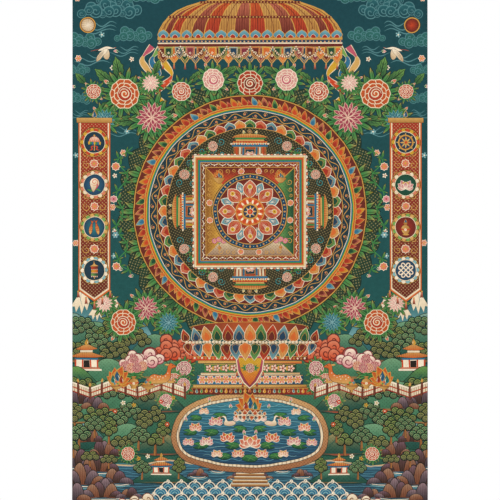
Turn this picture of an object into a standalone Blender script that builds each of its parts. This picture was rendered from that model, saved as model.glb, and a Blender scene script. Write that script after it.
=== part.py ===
"""Painted cotton panel of a thangka scroll painting, hanging by its top edge.

One piece of sized cotton, cut to a plain rectangle and painted edge to edge. It carries no brocade mount,
rod, cord, veil or binding. Metres, +Z up. The origin is the middle of the top edge, the painted face looks
along -Y, and the cloth hangs down along -Z.
"""

import bpy
import numpy as np

# The cut cloth
PANEL_WIDTH = 0.600
PANEL_LENGTH = 0.880
CLOTH_THICKNESS = 0.0012

# How it hangs: straight at the top edge, then free
FOOT_CURL = 0.0030  # the foot comes forward, as cloth does that was stored rolled
CURL_POWER = 3.0  # the curl keeps to the lowest third of the drop
SIDE_CUP = 0.0016  # both long edges turn forward against the middle
SOFT_WAVES = (
    # height of the wave, waves across the width, waves down the length, start of the wave in turns
    {"height": 0.0011, "across": 1.10, "down": 0.35, "start": 0.08},
    {"height": 0.0007, "across": 0.45, "down": 1.60, "start": 0.30},
)

# The faces that carry the form
COLUMNS = 24
ROWS = 35

COTTON_COLOUR = (0.190, 0.138, 0.083, 1.0)
COTTON_ROUGHNESS = 0.88


def set_back(x, drop):
    """How far the cloth stands behind the plane of its top edge: soft waves, less foot curl and side cup."""
    share_down = drop / PANEL_LENGTH
    share_across = x / PANEL_WIDTH
    behind = -FOOT_CURL * share_down**CURL_POWER
    behind = behind - SIDE_CUP * (2.0 * share_across) ** 2 * share_down
    for wave in SOFT_WAVES:
        turns = wave["across"] * share_across + wave["down"] * share_down + wave["start"]
        behind = behind + wave["height"] * np.sin(2.0 * np.pi * turns) * share_down
    return behind


def clear_scene():
    for old in list(bpy.data.objects):
        bpy.data.objects.remove(old, do_unlink=True)


def painted_cotton_material():
    material = bpy.data.materials.new("painted_cotton")
    material.use_nodes = True
    shader = material.node_tree.nodes["Principled BSDF"]
    shader.inputs["Base Color"].default_value = COTTON_COLOUR
    shader.inputs["Roughness"].default_value = COTTON_ROUGHNESS
    shader.inputs["Metallic"].default_value = 0.0
    return material


def hang_cloth(mesh):
    """Carries a unit grid to the cloth's middle surface: its X runs across the cloth and its Y up the cloth."""
    flat = np.empty(len(mesh.vertices) * 3)
    mesh.vertices.foreach_get("co", flat)
    across, up, _ = flat.reshape(-1, 3).T
    x = across * PANEL_WIDTH
    drop = (0.5 - up) * PANEL_LENGTH
    hung = np.stack([x, set_back(x, drop), -drop], axis=1)
    mesh.vertices.foreach_set("co", hung.ravel())
    mesh.update()


def make_panel(parts):
    bpy.ops.mesh.primitive_grid_add(x_subdivisions=COLUMNS, y_subdivisions=ROWS, size=1.0)
    panel = bpy.context.object
    panel.name = "painted_panel"
    hang_cloth(panel.data)
    cloth = panel.modifiers.new("cloth_thickness", "SOLIDIFY")
    cloth.thickness = CLOTH_THICKNESS
    cloth.offset = 0.0
    panel.data.materials.append(painted_cotton_material())
    panel.data.shade_smooth()
    panel.data.set_sharp_from_angle(angle=np.radians(30.0))
    for collection in list(panel.users_collection):
        collection.objects.unlink(panel)
    parts.objects.link(panel)
    return panel


def main():
    clear_scene()
    parts = bpy.data.collections.new("thangka_scroll_painting")
    bpy.context.scene.collection.children.link(parts)
    make_panel(parts)


main()
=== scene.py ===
"""Looks of the painted cotton panel of a thangka scroll painting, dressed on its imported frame.

The cloth is one closed mesh. The painting is drawn here in the painter's order, as outlines with washes of
colour, in millimetres: the real part of a point runs across the cloth from its middle, the imaginary part up
from its foot. One triangulation of all outlines that show becomes the painted face of the mesh, and each of
its triangles takes the wash of the topmost outline that covers it.
"""

from collections import namedtuple

import bpy
import numpy as np
from mathutils.geometry import delaunay_2d_cdt
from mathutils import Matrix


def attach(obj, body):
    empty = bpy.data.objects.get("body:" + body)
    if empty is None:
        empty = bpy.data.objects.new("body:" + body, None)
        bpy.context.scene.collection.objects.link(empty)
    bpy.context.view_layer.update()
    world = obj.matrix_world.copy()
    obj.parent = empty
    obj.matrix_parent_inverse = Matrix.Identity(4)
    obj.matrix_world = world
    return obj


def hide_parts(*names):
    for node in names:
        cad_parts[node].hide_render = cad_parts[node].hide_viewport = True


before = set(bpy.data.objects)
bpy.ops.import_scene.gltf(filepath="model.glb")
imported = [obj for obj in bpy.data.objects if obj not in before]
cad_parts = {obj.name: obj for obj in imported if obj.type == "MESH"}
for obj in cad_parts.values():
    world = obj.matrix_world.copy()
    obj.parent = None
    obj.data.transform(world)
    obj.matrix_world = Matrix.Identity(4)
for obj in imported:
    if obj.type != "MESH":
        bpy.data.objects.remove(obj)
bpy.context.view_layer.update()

# ---------------- the cloth and how it hangs, in metres

CLOTH_NODE = "painted_panel"
CLOTH_WIDTH = 0.600
CLOTH_LENGTH = 0.880
CLOTH_THICKNESS = 0.0012
FOOT_CURL = 0.0030  # how far the foot comes forward
CURL_POWER = 3.0  # the curl keeps to the lowest third
SIDE_CUP = 0.0016  # how far both long edges turn forward
SOFT_WAVES = (  # the height of each, its waves across and down the cloth, and its start in turns
    {"height": 0.0011, "across": 1.10, "down": 0.35, "start": 0.08},
    {"height": 0.0007, "across": 0.45, "down": 1.60, "start": 0.30},
)

# ---------------- the picture, in millimetres

HALF_WIDTH = 500.0 * CLOTH_WIDTH
HEIGHT = 1000.0 * CLOTH_LENGTH
HAND_WAVER = 0.42  # how far a hand-drawn line strays
EASE = 0.15  # a corner this near to the line between its neighbours is left out
LEAST_AREA = 0.40  # smaller touches of colour, in square millimetres, are left out
LEAST_BREADTH = 0.24  # and so are those with less area than this for each millimetre of length
THINNEST_RIM = 0.26  # a painted edge finer than this is left out
SHOWN_STEP = 2.0  # spacing of the points that test whether an edge shows
FORM_GRID = 12.0  # spacing of the points that carry the cloth's soft waves
LONGEST_EDGE = 30.0  # longer edges are cut, so that they follow the waves
MERGE = 0.02  # points nearer than this become one
ROUNDS = {"corners": 6, "edges": 5}  # how often almost straight lines are made straighter
POINTS_AT_ONCE = 4_000_000  # limits the memory that one covering test takes

# ---------------- the cloth's own map, back and paint

MAP_EDGE = 0.002  # unused margin at both sides of the map
FACE_BAND = (0.134, 0.998)  # foot and head of the painted face in the map
BACK_BAND = (0.004, 0.112)
EDGE_BAND = (0.117, 0.126)
BACK_POINTS = (26, 37)  # across and up
THREAD_PITCH = 0.0009
CLOUDS, LOAD, GRAIN = ((24.0,) * 3, (170.0,) * 3, (700.0,) * 3)  # mottles of the paint, to a metre
STAINS, SLUBS = ((7.0,) * 3, (260.0, 20.0, 14.0))  # and those of the bare back
TONE = 0.53  # with the mottles' means this comes to about 1
AGED_TINT = (1.02, 0.98, 0.90)
LINE_DEPTH = 0.8  # how far fine lines hide the wash below
LINE_TINT = (0.34, 0.22, 0.20, 1.0)  # times the wash: dark lines
LINE_LIFT = (3.0, 3.0, 2.8, 1.0)  # times the wash: light lines
DOT_LIGHT = (0.58, 0.46, 0.20, 1.0)  # light dots, in amounts of light


def pigment(code, metal=0.0):
    """A colour as it shows in daylight, from its six hexadecimal digits, and its share of metal."""
    return np.array([int(code[k : k + 2], 16) / 255 for k in (0, 2, 4)] + [metal])


SKY_DEEP = pigment("14404a")
SKY = pigment("1f5552")
SKY_LINE = pigment("4f7f86")
CLOUD_BLUE = pigment("245a62")
NIGHT = pigment("1e3440")
LEAF_DARK = pigment("1c4530")
LEAF = pigment("3d8046")
LEAF_LIGHT = pigment("6f9c50")
HILL_DARK = pigment("1f4c42")
HILL = pigment("3e7256")
HILL_LIGHT = pigment("74a07c")
MOSS = pigment("2a3a22")
OCHRE = pigment("a8753a")
STRAW = pigment("cba15e")
GOLD = pigment("c89a4d", 0.55)
YELLOW = pigment("c89c30")
CREAM = pigment("e2d1b5")
SHELL = pigment("ecdfca")
BONE = pigment("c4a985")
VERMILION = pigment("bf4526")
RED = pigment("9d2f22")
ORANGE = pigment("c9652f")
CORAL = pigment("cf7c5f")
MAROON = pigment("64271f")
WINE = pigment("7d2f3e")
BROWN = pigment("74442f")
UMBER = pigment("3f2a20")
ROSE = pigment("b55366")
PINK = pigment("cf878e")
BLUSH = pigment("e5beab")
BLUE = pigment("2f6a8c")
PALE_BLUE = pigment("7dabb0")
DEEP_BLUE = pigment("213d56")
TURQUOISE = pigment("2b8488")
MAUVE = pigment("846678")
STONE = pigment("9c828a")
PALE_STONE = pigment("a8866f")
SLATE = pigment("443a42")
INK = pigment("251e18")
INK_GREEN = pigment("122219")
BARE_COTTON, AGED_COTTON = pigment("d6cbb4", 1.0), pigment("b9a686", 1.0)
PAIRS = {  # a light colour and the deep one that shades it
    "red": (VERMILION, MAROON),
    "gold": (YELLOW, ORANGE),
    "green": (LEAF_LIGHT, LEAF_DARK),
    "blue": (PALE_BLUE, DEEP_BLUE),
    "coral": (CORAL, RED),
    "straw": (STRAW, ORANGE),
    "rose": (ROSE, WINE),
}

# How fine brushwork lies on a wash: the distance between its lines, how strongly they darken (or, below
# nothing, lighten), and whether they run along the wash, across it or make dots.
Touch = namedtuple("Touch", "pitch strength kind")
PLAIN = Touch(1.0, 0.0, "along")
Wash = namedtuple("Wash", "first last start end around bias touch")


def even(colour):
    """One colour all over."""
    return Wash(colour, colour, 0j, 1 + 0j, False, 1.0, PLAIN)


def graded(first, last, start, end, bias=1.0):
    """Runs from the first colour to the last in a straight line from start to end."""
    return Wash(first, last, complex(start), complex(end), False, bias, PLAIN)


def glowing(first, last, radius, centre=0j, bias=1.0):
    """Runs from the first colour at the centre to the last at the radius."""
    return Wash(first, last, complex(centre), complex(centre + radius), True, bias, PLAIN)


def touched(wash, pitch, strength, kind="along"):
    """The same wash with fine brushwork on it, its pitch in millimetres of the cloth."""
    return wash._replace(touch=Touch(pitch, strength, kind))


# ---------------- outlines and paths


def turned(turns):
    """The direction that lies this many turns round from the real axis."""
    return np.exp(2j * np.pi * turns)


def points(*numbers):
    """Points from numbers that are across and up by turns."""
    return np.array(numbers[::2]) + 1j * np.array(numbers[1::2])


def ring(radius, count, start=0.0, end=1.0):
    """Points at equal steps round a circle, from start to end in turns; a whole one leaves out its last."""
    whole = abs(end - start - 1.0) < 1e-9
    return radius * turned(np.linspace(start, end, count, endpoint=not whole))


def oval(across, up, count):
    """An ellipse: a circle stretched to two half sizes."""
    circle = ring(1.0, count)
    return across * circle.real + 1j * up * circle.imag


def box(left, low, right, high):
    """A rectangle from its four limits."""
    return points(left, low, right, low, right, high, left, high)


def curved(corners, steps, closed):
    """A Catmull-Rom curve: it passes through each point in the direction of the two beside it."""
    if closed:
        before, here, after, beyond = (np.roll(corners, k)[:, None] for k in (1, 0, -1, -2))
    else:
        ends = np.concatenate([[2 * corners[0] - corners[1]], corners, [2 * corners[-1] - corners[-2]]])
        before, here, after, beyond = (ends[k : len(ends) + k - 3, None] for k in range(4))
    t = np.arange(steps) / steps
    square = (2 * before - 5 * here + 4 * after - beyond) * t**2
    cube = (3 * here - before - 3 * after + beyond) * t**3
    curve = 0.5 * (2 * here + (after - before) * t + square + cube).ravel()
    return curve if closed else np.append(curve, corners[-1])


def smooth(*numbers, steps=2):
    """A closed curve through points that are given as numbers."""
    return curved(points(*numbers), steps, True)


def course(*numbers, steps=3):
    """An open curve through points that are given as numbers."""
    return curved(points(*numbers), steps, False)


def stroke(path, width, ends):
    """A brush stroke: half the width to each side of the path, thinning as a sine to a share at the ends."""
    along = np.gradient(path)
    side = 1j * along / np.maximum(np.abs(along), 1e-9)
    swell = np.sin(np.pi * np.linspace(0, 1, len(path))) ** 0.6
    half = 0.5 * width * (ends + (1 - ends) * swell)
    return np.concatenate([path + side * half, (path - side * half)[::-1]])


def inset(outline, depth):
    """Moves each corner inwards by the depth, along the mean of the normals of its two edges."""
    after = np.roll(outline, -1)
    edge = after - outline
    turning = np.sign(np.sum((np.conj(outline) * after).imag))
    normal = 1j * turning * edge / np.maximum(np.abs(edge), 1e-9)
    mean = normal + np.roll(normal, 1)
    return outline + depth * mean / np.maximum(np.abs(mean), 0.7)


def petal(length, width, fullness, count):
    """A pointed petal along the real axis: its half width is the sine of pi times t to the fullness."""
    t = np.linspace(0, 1, count)
    edge = length * t + 0.5j * width * np.sin(np.pi * t**fullness) ** 0.85
    return np.concatenate([edge, np.conj(edge[-2:0:-1])])


def fan_petal(length, spread):
    """A round petal from 0: its rim spans a share of a turn in three lobes and falls off at the sides."""
    t = np.linspace(-1, 1, 8)
    swell = 0.92 + 0.08 * np.abs(np.sin(1.5 * np.pi * (t + 1)))
    return np.append(length * swell * (1 - 0.22 * t**4) * turned(0.5 * spread * t), 0.15 * length)


def spiral(radius, turns, count, start=0.0):
    """A curl that runs inwards from the radius, its distance falling evenly to a sixth."""
    t = np.linspace(0, 1, count)
    return radius * (1 - 0.84 * t) * turned(start + turns * t)


def wavy(start, end, height, waves, count):
    """A line from start to end that swings to both sides as a sine."""
    t = np.linspace(0, 1, count)
    side = 1j * (end - start) / abs(end - start)
    return start + (end - start) * t + side * height * np.sin(2 * np.pi * waves * t)


def sag(start, end, depth, count):
    """A hanging line between two points: a parabola that is lowest in the middle."""
    t = np.linspace(0, 1, count)
    return start + (end - start) * t - 4j * depth * t * (1 - t)


def dome(half, height, power=0.8, count=19):
    """A rounded crest from left to right: its height is the cosine of the way to either side, to a power."""
    t = np.linspace(-1, 1, count)
    return half * t + 1j * height * np.cos(0.5 * np.pi * t) ** power


# ---------------- drawings


class Drawing:
    """Shapes in the order in which they are painted, each an outline of complex points and its wash."""

    def __init__(self, shapes=()):
        self.shapes = list(shapes)

    def fill(self, outline, wash):
        """Paints an outline with a wash or with one colour."""
        self.shapes.append((np.asarray(outline, complex), wash if isinstance(wash, Wash) else even(wash)))
        return self

    def rimmed(self, outline, wash, rim, width):
        """Paints an outline in the rim's colour, then inside it the wash."""
        return self.fill(outline, rim).fill(inset(outline, width), wash)

    def line(self, path, width, wash, ends=0.25):
        """Paints a brush stroke along a path."""
        return self.fill(stroke(path, width, ends), wash)

    def rings(self, *radii_and_washes, count=24):
        """Paints discs about 0, the widest first."""
        for radius, wash in radii_and_washes:
            self.fill(ring(radius, count), wash)
        return self

    def put(self, motif, at=0j, size=1.0, turns=0.0, mirrored=False):
        """Adds another drawing: mirrored left to right if asked, then scaled, turned and moved."""
        factor = size * turned(turns)

        def moved(place):
            return at + factor * (-np.conj(place) if mirrored else place)

        for outline, wash in motif.shapes:
            self.shapes.append((moved(outline), wash._replace(start=moved(wash.start), end=moved(wash.end))))
        return self

    def pair(self, motif, at, size=1.0, turns=0.0):
        """Adds a drawing to the right of the cloth's middle and its mirror image to the left."""
        return self.put(motif, at, size, turns).put(motif, -np.conj(at), size, -turns, True)

    def pairs(self, motifs, *places):
        """Adds motifs in turn at places to the right, each across, up and size, and their mirror images."""
        for k, (x, y, *size) in enumerate(places):
            self.pair(motifs[k % len(motifs)], x + 1j * y, *size)
        return self

    def around(self, motifs, count, radius=0.0, centre=0j, start=0.0):
        """Adds motifs in turn at equal steps round a centre, each turned to point outwards."""
        for k in range(count):
            turns = start + k / count
            self.put(motifs[k % len(motifs)], centre + radius * turned(turns), 1, turns)
        return self

    def row(self, motifs, count, middle, half):
        """Adds motifs in turn at equal steps, from half a width left of the middle to as far right."""
        for k, at in enumerate(np.linspace(middle - half, middle + half, count)):
            self.put(motifs[k % len(motifs)], at)
        return self

    def strung(self, motif, path, spacing):
        """Adds a motif at equal distances along a path."""
        far = np.concatenate([[0], np.cumsum(np.abs(np.diff(path)))])
        stops = np.linspace(0, far[-1], max(2, int(far[-1] / spacing)) + 1)
        for at in np.interp(stops, far, path.real) + 1j * np.interp(stops, far, path.imag):
            self.put(motif, at)
        return self


def single(outline, wash, *rim):
    """A drawing of one shape, with a rim where its colour and width are given."""
    return Drawing().rimmed(outline, wash, *rim) if rim else Drawing().fill(outline, wash)


# ---------------- flowers and leaves


def peony(radius, deep=RED, warm=ORANGE, rim=CREAM):
    """Two rings of broad petals, deep at their feet and edged in a thick pale line, about a curled heart."""
    flower = Drawing()
    for count, reach, phase in ((10, 1.0, 0.0), (8, 0.74, 0.5)):
        lobe = fan_petal(radius * reach, 1.34 / count)
        shade = touched(glowing(deep, warm, radius * reach, bias=1.6), 3.4, 0.5)
        flower.around([single(lobe, shade, rim, 0.052 * radius)], count, start=phase / count)
    flower.rimmed(ring(radius * 0.49, 14), glowing(warm, deep, 0.4 * radius), rim, 0.055 * radius)
    return flower.line(spiral(radius * 0.36, 1.7, 19), 0.085 * radius, rim)


def aster(radius, deep=WINE, warm=ROSE, rim=BLUSH):
    """Three rings of pointed petals with pale edges."""
    flower = Drawing()
    for count, reach, phase in ((14, 1.0, 0.0), (11, 0.75, 0.5), (7, 0.47, 0.0)):
        leaf = petal(radius * reach, 3.5 * radius * reach / count, 1.7, 5)
        shade = touched(glowing(deep, warm, radius * reach, bias=1.2), 3.0, 0.45)
        flower.around([single(leaf, shade, rim, 0.03 * radius)], count, start=phase / count)
    return flower


def blossom(radius, colour, heart, petals=6, rim=None):
    """A small flower of a few plain petals about a dot."""
    flower = Drawing()
    if rim is not None:
        flower.around([single(petal(radius * 1.14, radius * 0.86, 1.6, 4), rim)], petals)
    flower.around([single(petal(radius, radius * 0.62, 1.6, 4), colour)], petals)
    return flower.fill(ring(radius * 0.26, 6), heart)


def lotus(radius, deep, pale):
    """A lotus from the side: petals fan out from one foot, the outer ones first, the middle ones in front."""
    flower = Drawing()
    behind = ((0.225, 0.86), (-0.225, 0.86), (0.155, 1.0), (-0.155, 1.0), (0.08, 1.06), (-0.08, 1.06))
    for petals in (behind, ((0.13, 0.62), (-0.13, 0.62), (0.0, 0.74))):
        for lean, reach in petals:
            length = radius * reach
            shade = touched(graded(pale, deep, 0, length, 1.5), 2.6, 0.4)
            leaf = single(petal(length, radius * 0.5, 1.25, 5), shade, SHELL, 0.05 * radius)
            flower.put(leaf, 0, 1, 0.25 + lean)
        if petals is behind:
            flower.fill(oval(radius * 0.34, radius * 0.16, 10) + 0.60j * radius, YELLOW)
    return flower


SMALL_LEAF = 13.0  # sprays up to this length have no dark outline


def leaf_spray(length, leaflets=5, tip=STRAW):
    """Pointed leaflets that fan out from 0 about the real axis, the outer ones shorter, with yellow tips."""
    spray = Drawing()
    for lean in sorted(np.linspace(-0.25, 0.25, leaflets), key=abs, reverse=True):
        reach = length * (1 - 1.35 * abs(lean))
        shade = touched(graded(LEAF, tip, 0.3 * reach, reach, 2.2), 0.15 * length, 0.8)
        leaf = single(petal(reach, reach * 0.36, 0.95, 4), INK_GREEN if length > SMALL_LEAF else shade)
        if length > SMALL_LEAF:
            leaf.fill(petal(reach * 0.94, reach * 0.27, 0.95, 4), shade)
        spray.put(leaf, 0, 1, lean)
    return spray


def broad_leaf(length):
    """One broad leaf with a toothed edge: a petal outline with every other point drawn in, and side veins."""
    edge = petal(length, length * 0.5, 0.85, 10)
    edge[::2] = edge[::2].real - 0.02 * length + 0.80j * edge[::2].imag
    shade = touched(graded(LEAF_DARK, LEAF_LIGHT, 0, length, 0.8), 3.6, 0.5)
    leaf = single(edge, shade, INK_GREEN, length * 0.02)
    leaf.line(np.array([0, 0.5, 0.92]) * length, length * 0.04, INK_GREEN)
    for along in (0.25, 0.42, 0.6):
        for side in (1, -1):
            vein = along + points(0, 0, 0.08, 0.07 * side, 0.2, 0.13 * side)
            leaf.line(vein * length, length * 0.025, LEAF_DARK)
    return leaf


def bud(length, colour=VERMILION, pale=BLUSH):
    """A closed flower: a drop with a pale side, held in two green sepals."""
    flower = single(
        petal(length, length * 0.62, 0.8, 5), graded(pale, colour, 0, length), SHELL, length * 0.05
    )
    sepal = single(petal(length * 0.55, length * 0.2, 1.0, 3), LEAF)
    return flower.put(sepal, 0, 1, 0.05).put(sepal, 0, 1, -0.05)


def vine(path, leaf, flowers, spacing):
    """A stem along a path with a leaf to either side by turns, and a flower beside every fourth leaf."""
    plant = Drawing().line(path, 1.8, LEAF, 0.6)
    ahead = np.gradient(path)
    for k, spot in enumerate(range(1, len(path) - 1, spacing)):
        hand = 1 if k % 2 else -1
        turns = np.angle(ahead[spot]) / (2 * np.pi) + 0.14 * hand
        plant.put(leaf_spray(leaf, 3), path[spot], 1, turns)
        if k % 4 == 1:
            plant.put(flowers[k // 4 % len(flowers)], path[spot] + 0.45 * leaf * turned(turns - 0.28 * hand))
    return plant


def bouquet(kind, radius, leaves, start, buds, *colours):
    """A flower of some kind on a wreath of leaf sprays, with buds between them."""
    group = Drawing().around([leaf_spray(radius * 1.1)], leaves, radius * 0.7, start=start)
    for k in range(buds):
        turns = start + (k * 3 + 0.5) / leaves
        group.put(bud(radius * 0.42), radius * 1.22 * turned(turns), 1, turns)
    return group.put(kind(radius, *colours))


# ---------------- clouds, hills, trees, rocks and water


def bank(width, rows, radius, line, dark, light):
    """A cloud bank: rows of round lobes, fewer upwards, the top row first, each with an inward curl."""
    cloud = Drawing()
    for row in reversed(range(rows)):
        across = width * (1 - row / (rows + 0.4))
        count = max(1, int(round(across / radius / 1.35)))
        for k in range(count):
            x = ((k + 0.5) / count - 0.5) * across
            lobe = radius * (1 + 0.3 * np.sin(2.3 * k + 1.7 * row)) * (1 - 0.08 * row)
            hand = 1 if x > 0 else -1
            curl = single(ring(lobe, 16), line)
            curl.fill(ring(lobe * 0.86, 14), graded(light, dark, 0.8j * lobe, -0.8j * lobe))
            curl.line(spiral(lobe * 0.62, 1.05 * hand, 11, 0.25 + 0.25 * hand), lobe * 0.16, line)
            cloud.put(curl, x + 1j * radius * (1.05 * row + 0.35 * np.cos(1.9 * k + row)))
    return cloud


def wisp(length, width, line):
    """Three thin strokes that trail off one behind the other."""
    trail = Drawing()
    for k in range(3):
        path = wavy(0j, length * (1 - 0.18 * k) + 0j, width * 0.6, 1.2, 12)
        trail.line(path + 1j * width * (0.9 * k - 0.9), width * 0.28, line, 0.1)
    return trail


def mound(half, height, top, base, foot=ORANGE):
    """A bell-shaped hill, light at its crest and dark below, with strokes down its flanks and a warm foot."""
    crest = dome(half, height, 1.25)
    sole = dome(half, -0.12 * height)[-2:0:-1]
    slope = touched(graded(top, base, 1j * height, 0.1j * height, 0.75), 6.0, 0.5, "dots")
    hill = single(np.append(crest, sole), slope, INK_GREEN, 1.0)
    for lean in (-0.5, -0.2, 0.2, 0.5):
        side = 0.5 * lean * half + 1j * height * (0.86 - abs(lean))
        flank = course(0, 0, 0.5 * lean * half, -0.16 * height, 1.2 * lean * half, -0.3 * height)
        hill.line(side + flank, 1.5, base)
    if foot is not None:
        band = np.append(0.8 * sole + 1.2j, points(-0.8 * half, 1.2, 0.8 * half, 1.2))
        hill.fill(band, graded(foot, base, -0.08j * height, 0.04j * height))
    return hill


def peak(half, height):
    """A snow peak: a blue wedge whose white head breaks into points, with a lit ridge."""
    face = points(
        -half, 0, -0.45 * half, 0.55 * height, -0.12 * half, 0.9 * height, 0, height, 0.2 * half,
        0.8 * height, 0.6 * half, 0.42 * height, half, 0
    )
    snow = points(
        -0.33, 0.68, -0.12, 0.9, 0, 1, 0.2, 0.8, 0.47, 0.55, 0.3, 0.56, 0.24, 0.42, 0.1, 0.58, 0, 0.38,
        -0.1, 0.58, -0.22, 0.46
    )
    mountain = single(face, graded(CLOUD_BLUE, PALE_BLUE, 0.7j * height, 0), INK_GREEN, 0.8)
    mountain.fill(
        half * snow.real + 1j * (height * snow.imag - 1), graded(SHELL, CREAM, 1j * height, 0.5j * height)
    )
    return mountain.line(points(0, 0.92, 0.04, 0.7, -0.02, 0.5) * height, 0.8, SKY_LINE)


CLUMPS = {
    "round": points(0, 2.2, -0.85, 1.7, 0.85, 1.7, -1.5, 0.9, 0, 1.1, 1.5, 0.9, -0.8, 0.3, 0.8, 0.3),
    "tall": points(0, 3.0, -0.7, 2.3, 0.7, 2.3, 0, 1.6, -1.0, 1.0, 1.0, 1.0, 0, 0.35),
    "low": points(-0.75, 1.0, 0.75, 1.0, -1.45, 0.25, 0, 0.25, 1.45, 0.25),
    "pair": points(0, 1.3, -0.7, 0.5, 0.7, 0.5)
}
TINTS = (
    (pigment("649466"), pigment("17392c")), (pigment("6f8c46"), MOSS),
    (pigment("7f8648"), pigment("203226"))
)


def foliage(clump, places, tint):
    """Round leaf clumps in dark outlines: each has a dark arc above and bright dabs."""
    light, body = TINTS[tint]
    shade = touched(graded(light, body, 0.5j * clump, -0.4j * clump), 0.36 * clump, -0.9, "dots")
    leaf = single(clump * oval(0.88, 0.82, 11), INK_GREEN).fill(clump * oval(0.70, 0.62, 9), shade)
    leaf.line(clump * (0.9 * ring(0.44, 4, 0.06, 0.44) - 0.03j), 0.15 * clump, INK_GREEN, 0.5)
    mass = Drawing()
    for place in places:
        mass.put(leaf, clump * place)
    return mass


def tree(clump, habit, tint):
    """A tree of round leaf clumps on a brown trunk."""
    trunk = points(-0.30, -2.0, 0.30, -2.0, 0.17, 0.6, -0.17, 0.6) * clump
    plant = single(trunk, graded(BROWN, OCHRE, -0.3 * clump, 0.3 * clump), INK, 0.06 * clump)
    return plant.put(foliage(clump, CLUMPS[habit], tint))


def grove(clump, across, rows, tint):
    """A close wood: rows of clumps, the upper ones shorter, each a little off its place."""
    places = [
        1.45 * (k - 0.5 * (across - row - 1)) + 0.2 * np.sin(4.1 * k + row) + 1j * (
            1.1 * row + 0.25 * np.cos(2.9 * k + row)
        )
        for row in reversed(range(rows))
        for k in range(across - row)
    ]
    return foliage(clump, places, tint)


def rock(width, height, lobes=5, phase=0):
    """A boulder of rounded lobes, the middle ones taller and behind, each lit on its crown and grooved."""
    stone = Drawing()
    for k, place in sorted(enumerate(np.linspace(-1, 1, lobes)), key=lambda item: abs(item[1])):
        tall = height * (1 - 0.6 * place**2) * (1 + 0.12 * np.sin(2.1 * k + phase))
        lobe = dome(1.25 * width / lobes, tall, 0.5, 11)
        light, dark = ((STONE, SLATE), (MAUVE, UMBER), (PALE_STONE, BROWN))[(k + phase) % 3]
        shade = touched(graded(light, dark, 1j * tall, 0.1j * tall, 0.8), 2.9, 0.75)
        face = single(lobe, INK).fill(0.92 * lobe.real + 0.95j * lobe.imag, shade)
        stone.put(face, 0.40 * width * place, 1, -0.02 * place)
    return stone


def eddies(width):
    """Two lines in the water about a foot at 0: the lower halves of a narrow and a wider ellipse."""
    water = Drawing()
    lower = ring(1.0, 9, 0.5, 1.0)
    for k, line in enumerate((SHELL, PALE_BLUE)):
        arc = (0.5 * width + 3.0 * k) * lower.real + 1j * (3.0 + 2.6 * k) * lower.imag
        water.line(arc, 1.1, line, 0.4)
    return water


def ripples(left, right, low, high, rows, wash, height, waves):
    """Rows of long wavy strokes across a stretch of water."""
    water = Drawing()
    for k in range(rows):
        y = low + (high - low) * (k + 0.5) / rows
        lift = height * (0.6 + 0.4 * np.sin(2.7 * k))
        path = wavy(left + 1j * y, right + 1j * y, lift, waves + 0.37 * (k % 3), 7 * waves)
        water.line(path, 0.9, wash, 0.7)
    return water


def billow(radius, deep):
    """A breaking wave: an arched scale with lines inside and a curl of foam."""
    wave = Drawing()
    for share, colour in (
        (1.0, SHELL), (0.88, deep), (0.66, PALE_BLUE), (0.56, BLUE), (0.34, PALE_BLUE), (0.22, deep)
    ):
        wave.fill(ring(radius * share, 10, 0.0, 0.5), colour)
    return wave.line(1j * radius + spiral(radius * 0.34, 1.1, 8, 0.6), radius * 0.16, SHELL)


# ---------------- ornaments


def pearl(radius, colour=SHELL, shade=BONE):
    """A bead, lit from the upper left."""
    return single(ring(radius, 7), graded(colour, shade, (-0.5 + 0.6j) * radius, (0.5 - 0.7j) * radius))


def jewel(height, colour, deep):
    """A drop-shaped jewel that stands on its round end: gold edge, inner facet and a light line."""
    drop = petal(height, height * 0.62, 0.62, 7) * 1j
    gem = single(drop, graded(colour, deep, 0.2j * height, 0.9j * height), GOLD, height * 0.06)
    gem.fill(inset(drop, height * 0.17) + 0.02j * height, graded(deep, colour, 0.1j * height, 0.8j * height))
    return gem.line(points(-0.14, 0.2, -0.17, 0.36, -0.07, 0.6) * height, height * 0.07, SHELL)


def flame(length, colour, deep, rim=GOLD):
    """A tongue of fire along the real axis: a petal that leans to one side, with a darker heart."""
    tongue = petal(length, length * 0.66, 0.72, 6)
    tongue = tongue + 0.30j * length * (tongue.real / length) ** 2.2
    fire = single(tongue, touched(graded(deep, colour, 0, length), 2.6, 0.4), rim, length * 0.05)
    return fire.fill(tongue * 0.5 + 0.12 * length, deep)


def blazing_jewels(size):
    """Three jewels in a halo of fire."""
    group = Drawing()
    for lean in (0.2, -0.2, 0.14, -0.14, 0.07, -0.07, 0.0):
        group.put(flame(size * (1.25 - 1.8 * abs(lean)), VERMILION, YELLOW), 0, 1, 0.25 + lean)
    group.put(jewel(size * 0.85, BLUE, DEEP_BLUE), 0.1j * size).put(
        jewel(size * 0.66, VERMILION, MAROON), -0.3 * size
    )
    return group.put(jewel(size * 0.66, TURQUOISE, LEAF_DARK), 0.3 * size)


def gilt_petal(shape, light, deep, pitch, rim, share):
    """A shaded petal with a pale edge, and within it the same shape at a share of the size, edged in gold."""
    length = shape.real.max()
    leaf = single(shape, touched(graded(deep, light, 0, length), pitch, 0.4), rim, 0.8)
    return leaf.rimmed(shape * share + 0.08 * length, deep, GOLD, 0.5)


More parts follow.
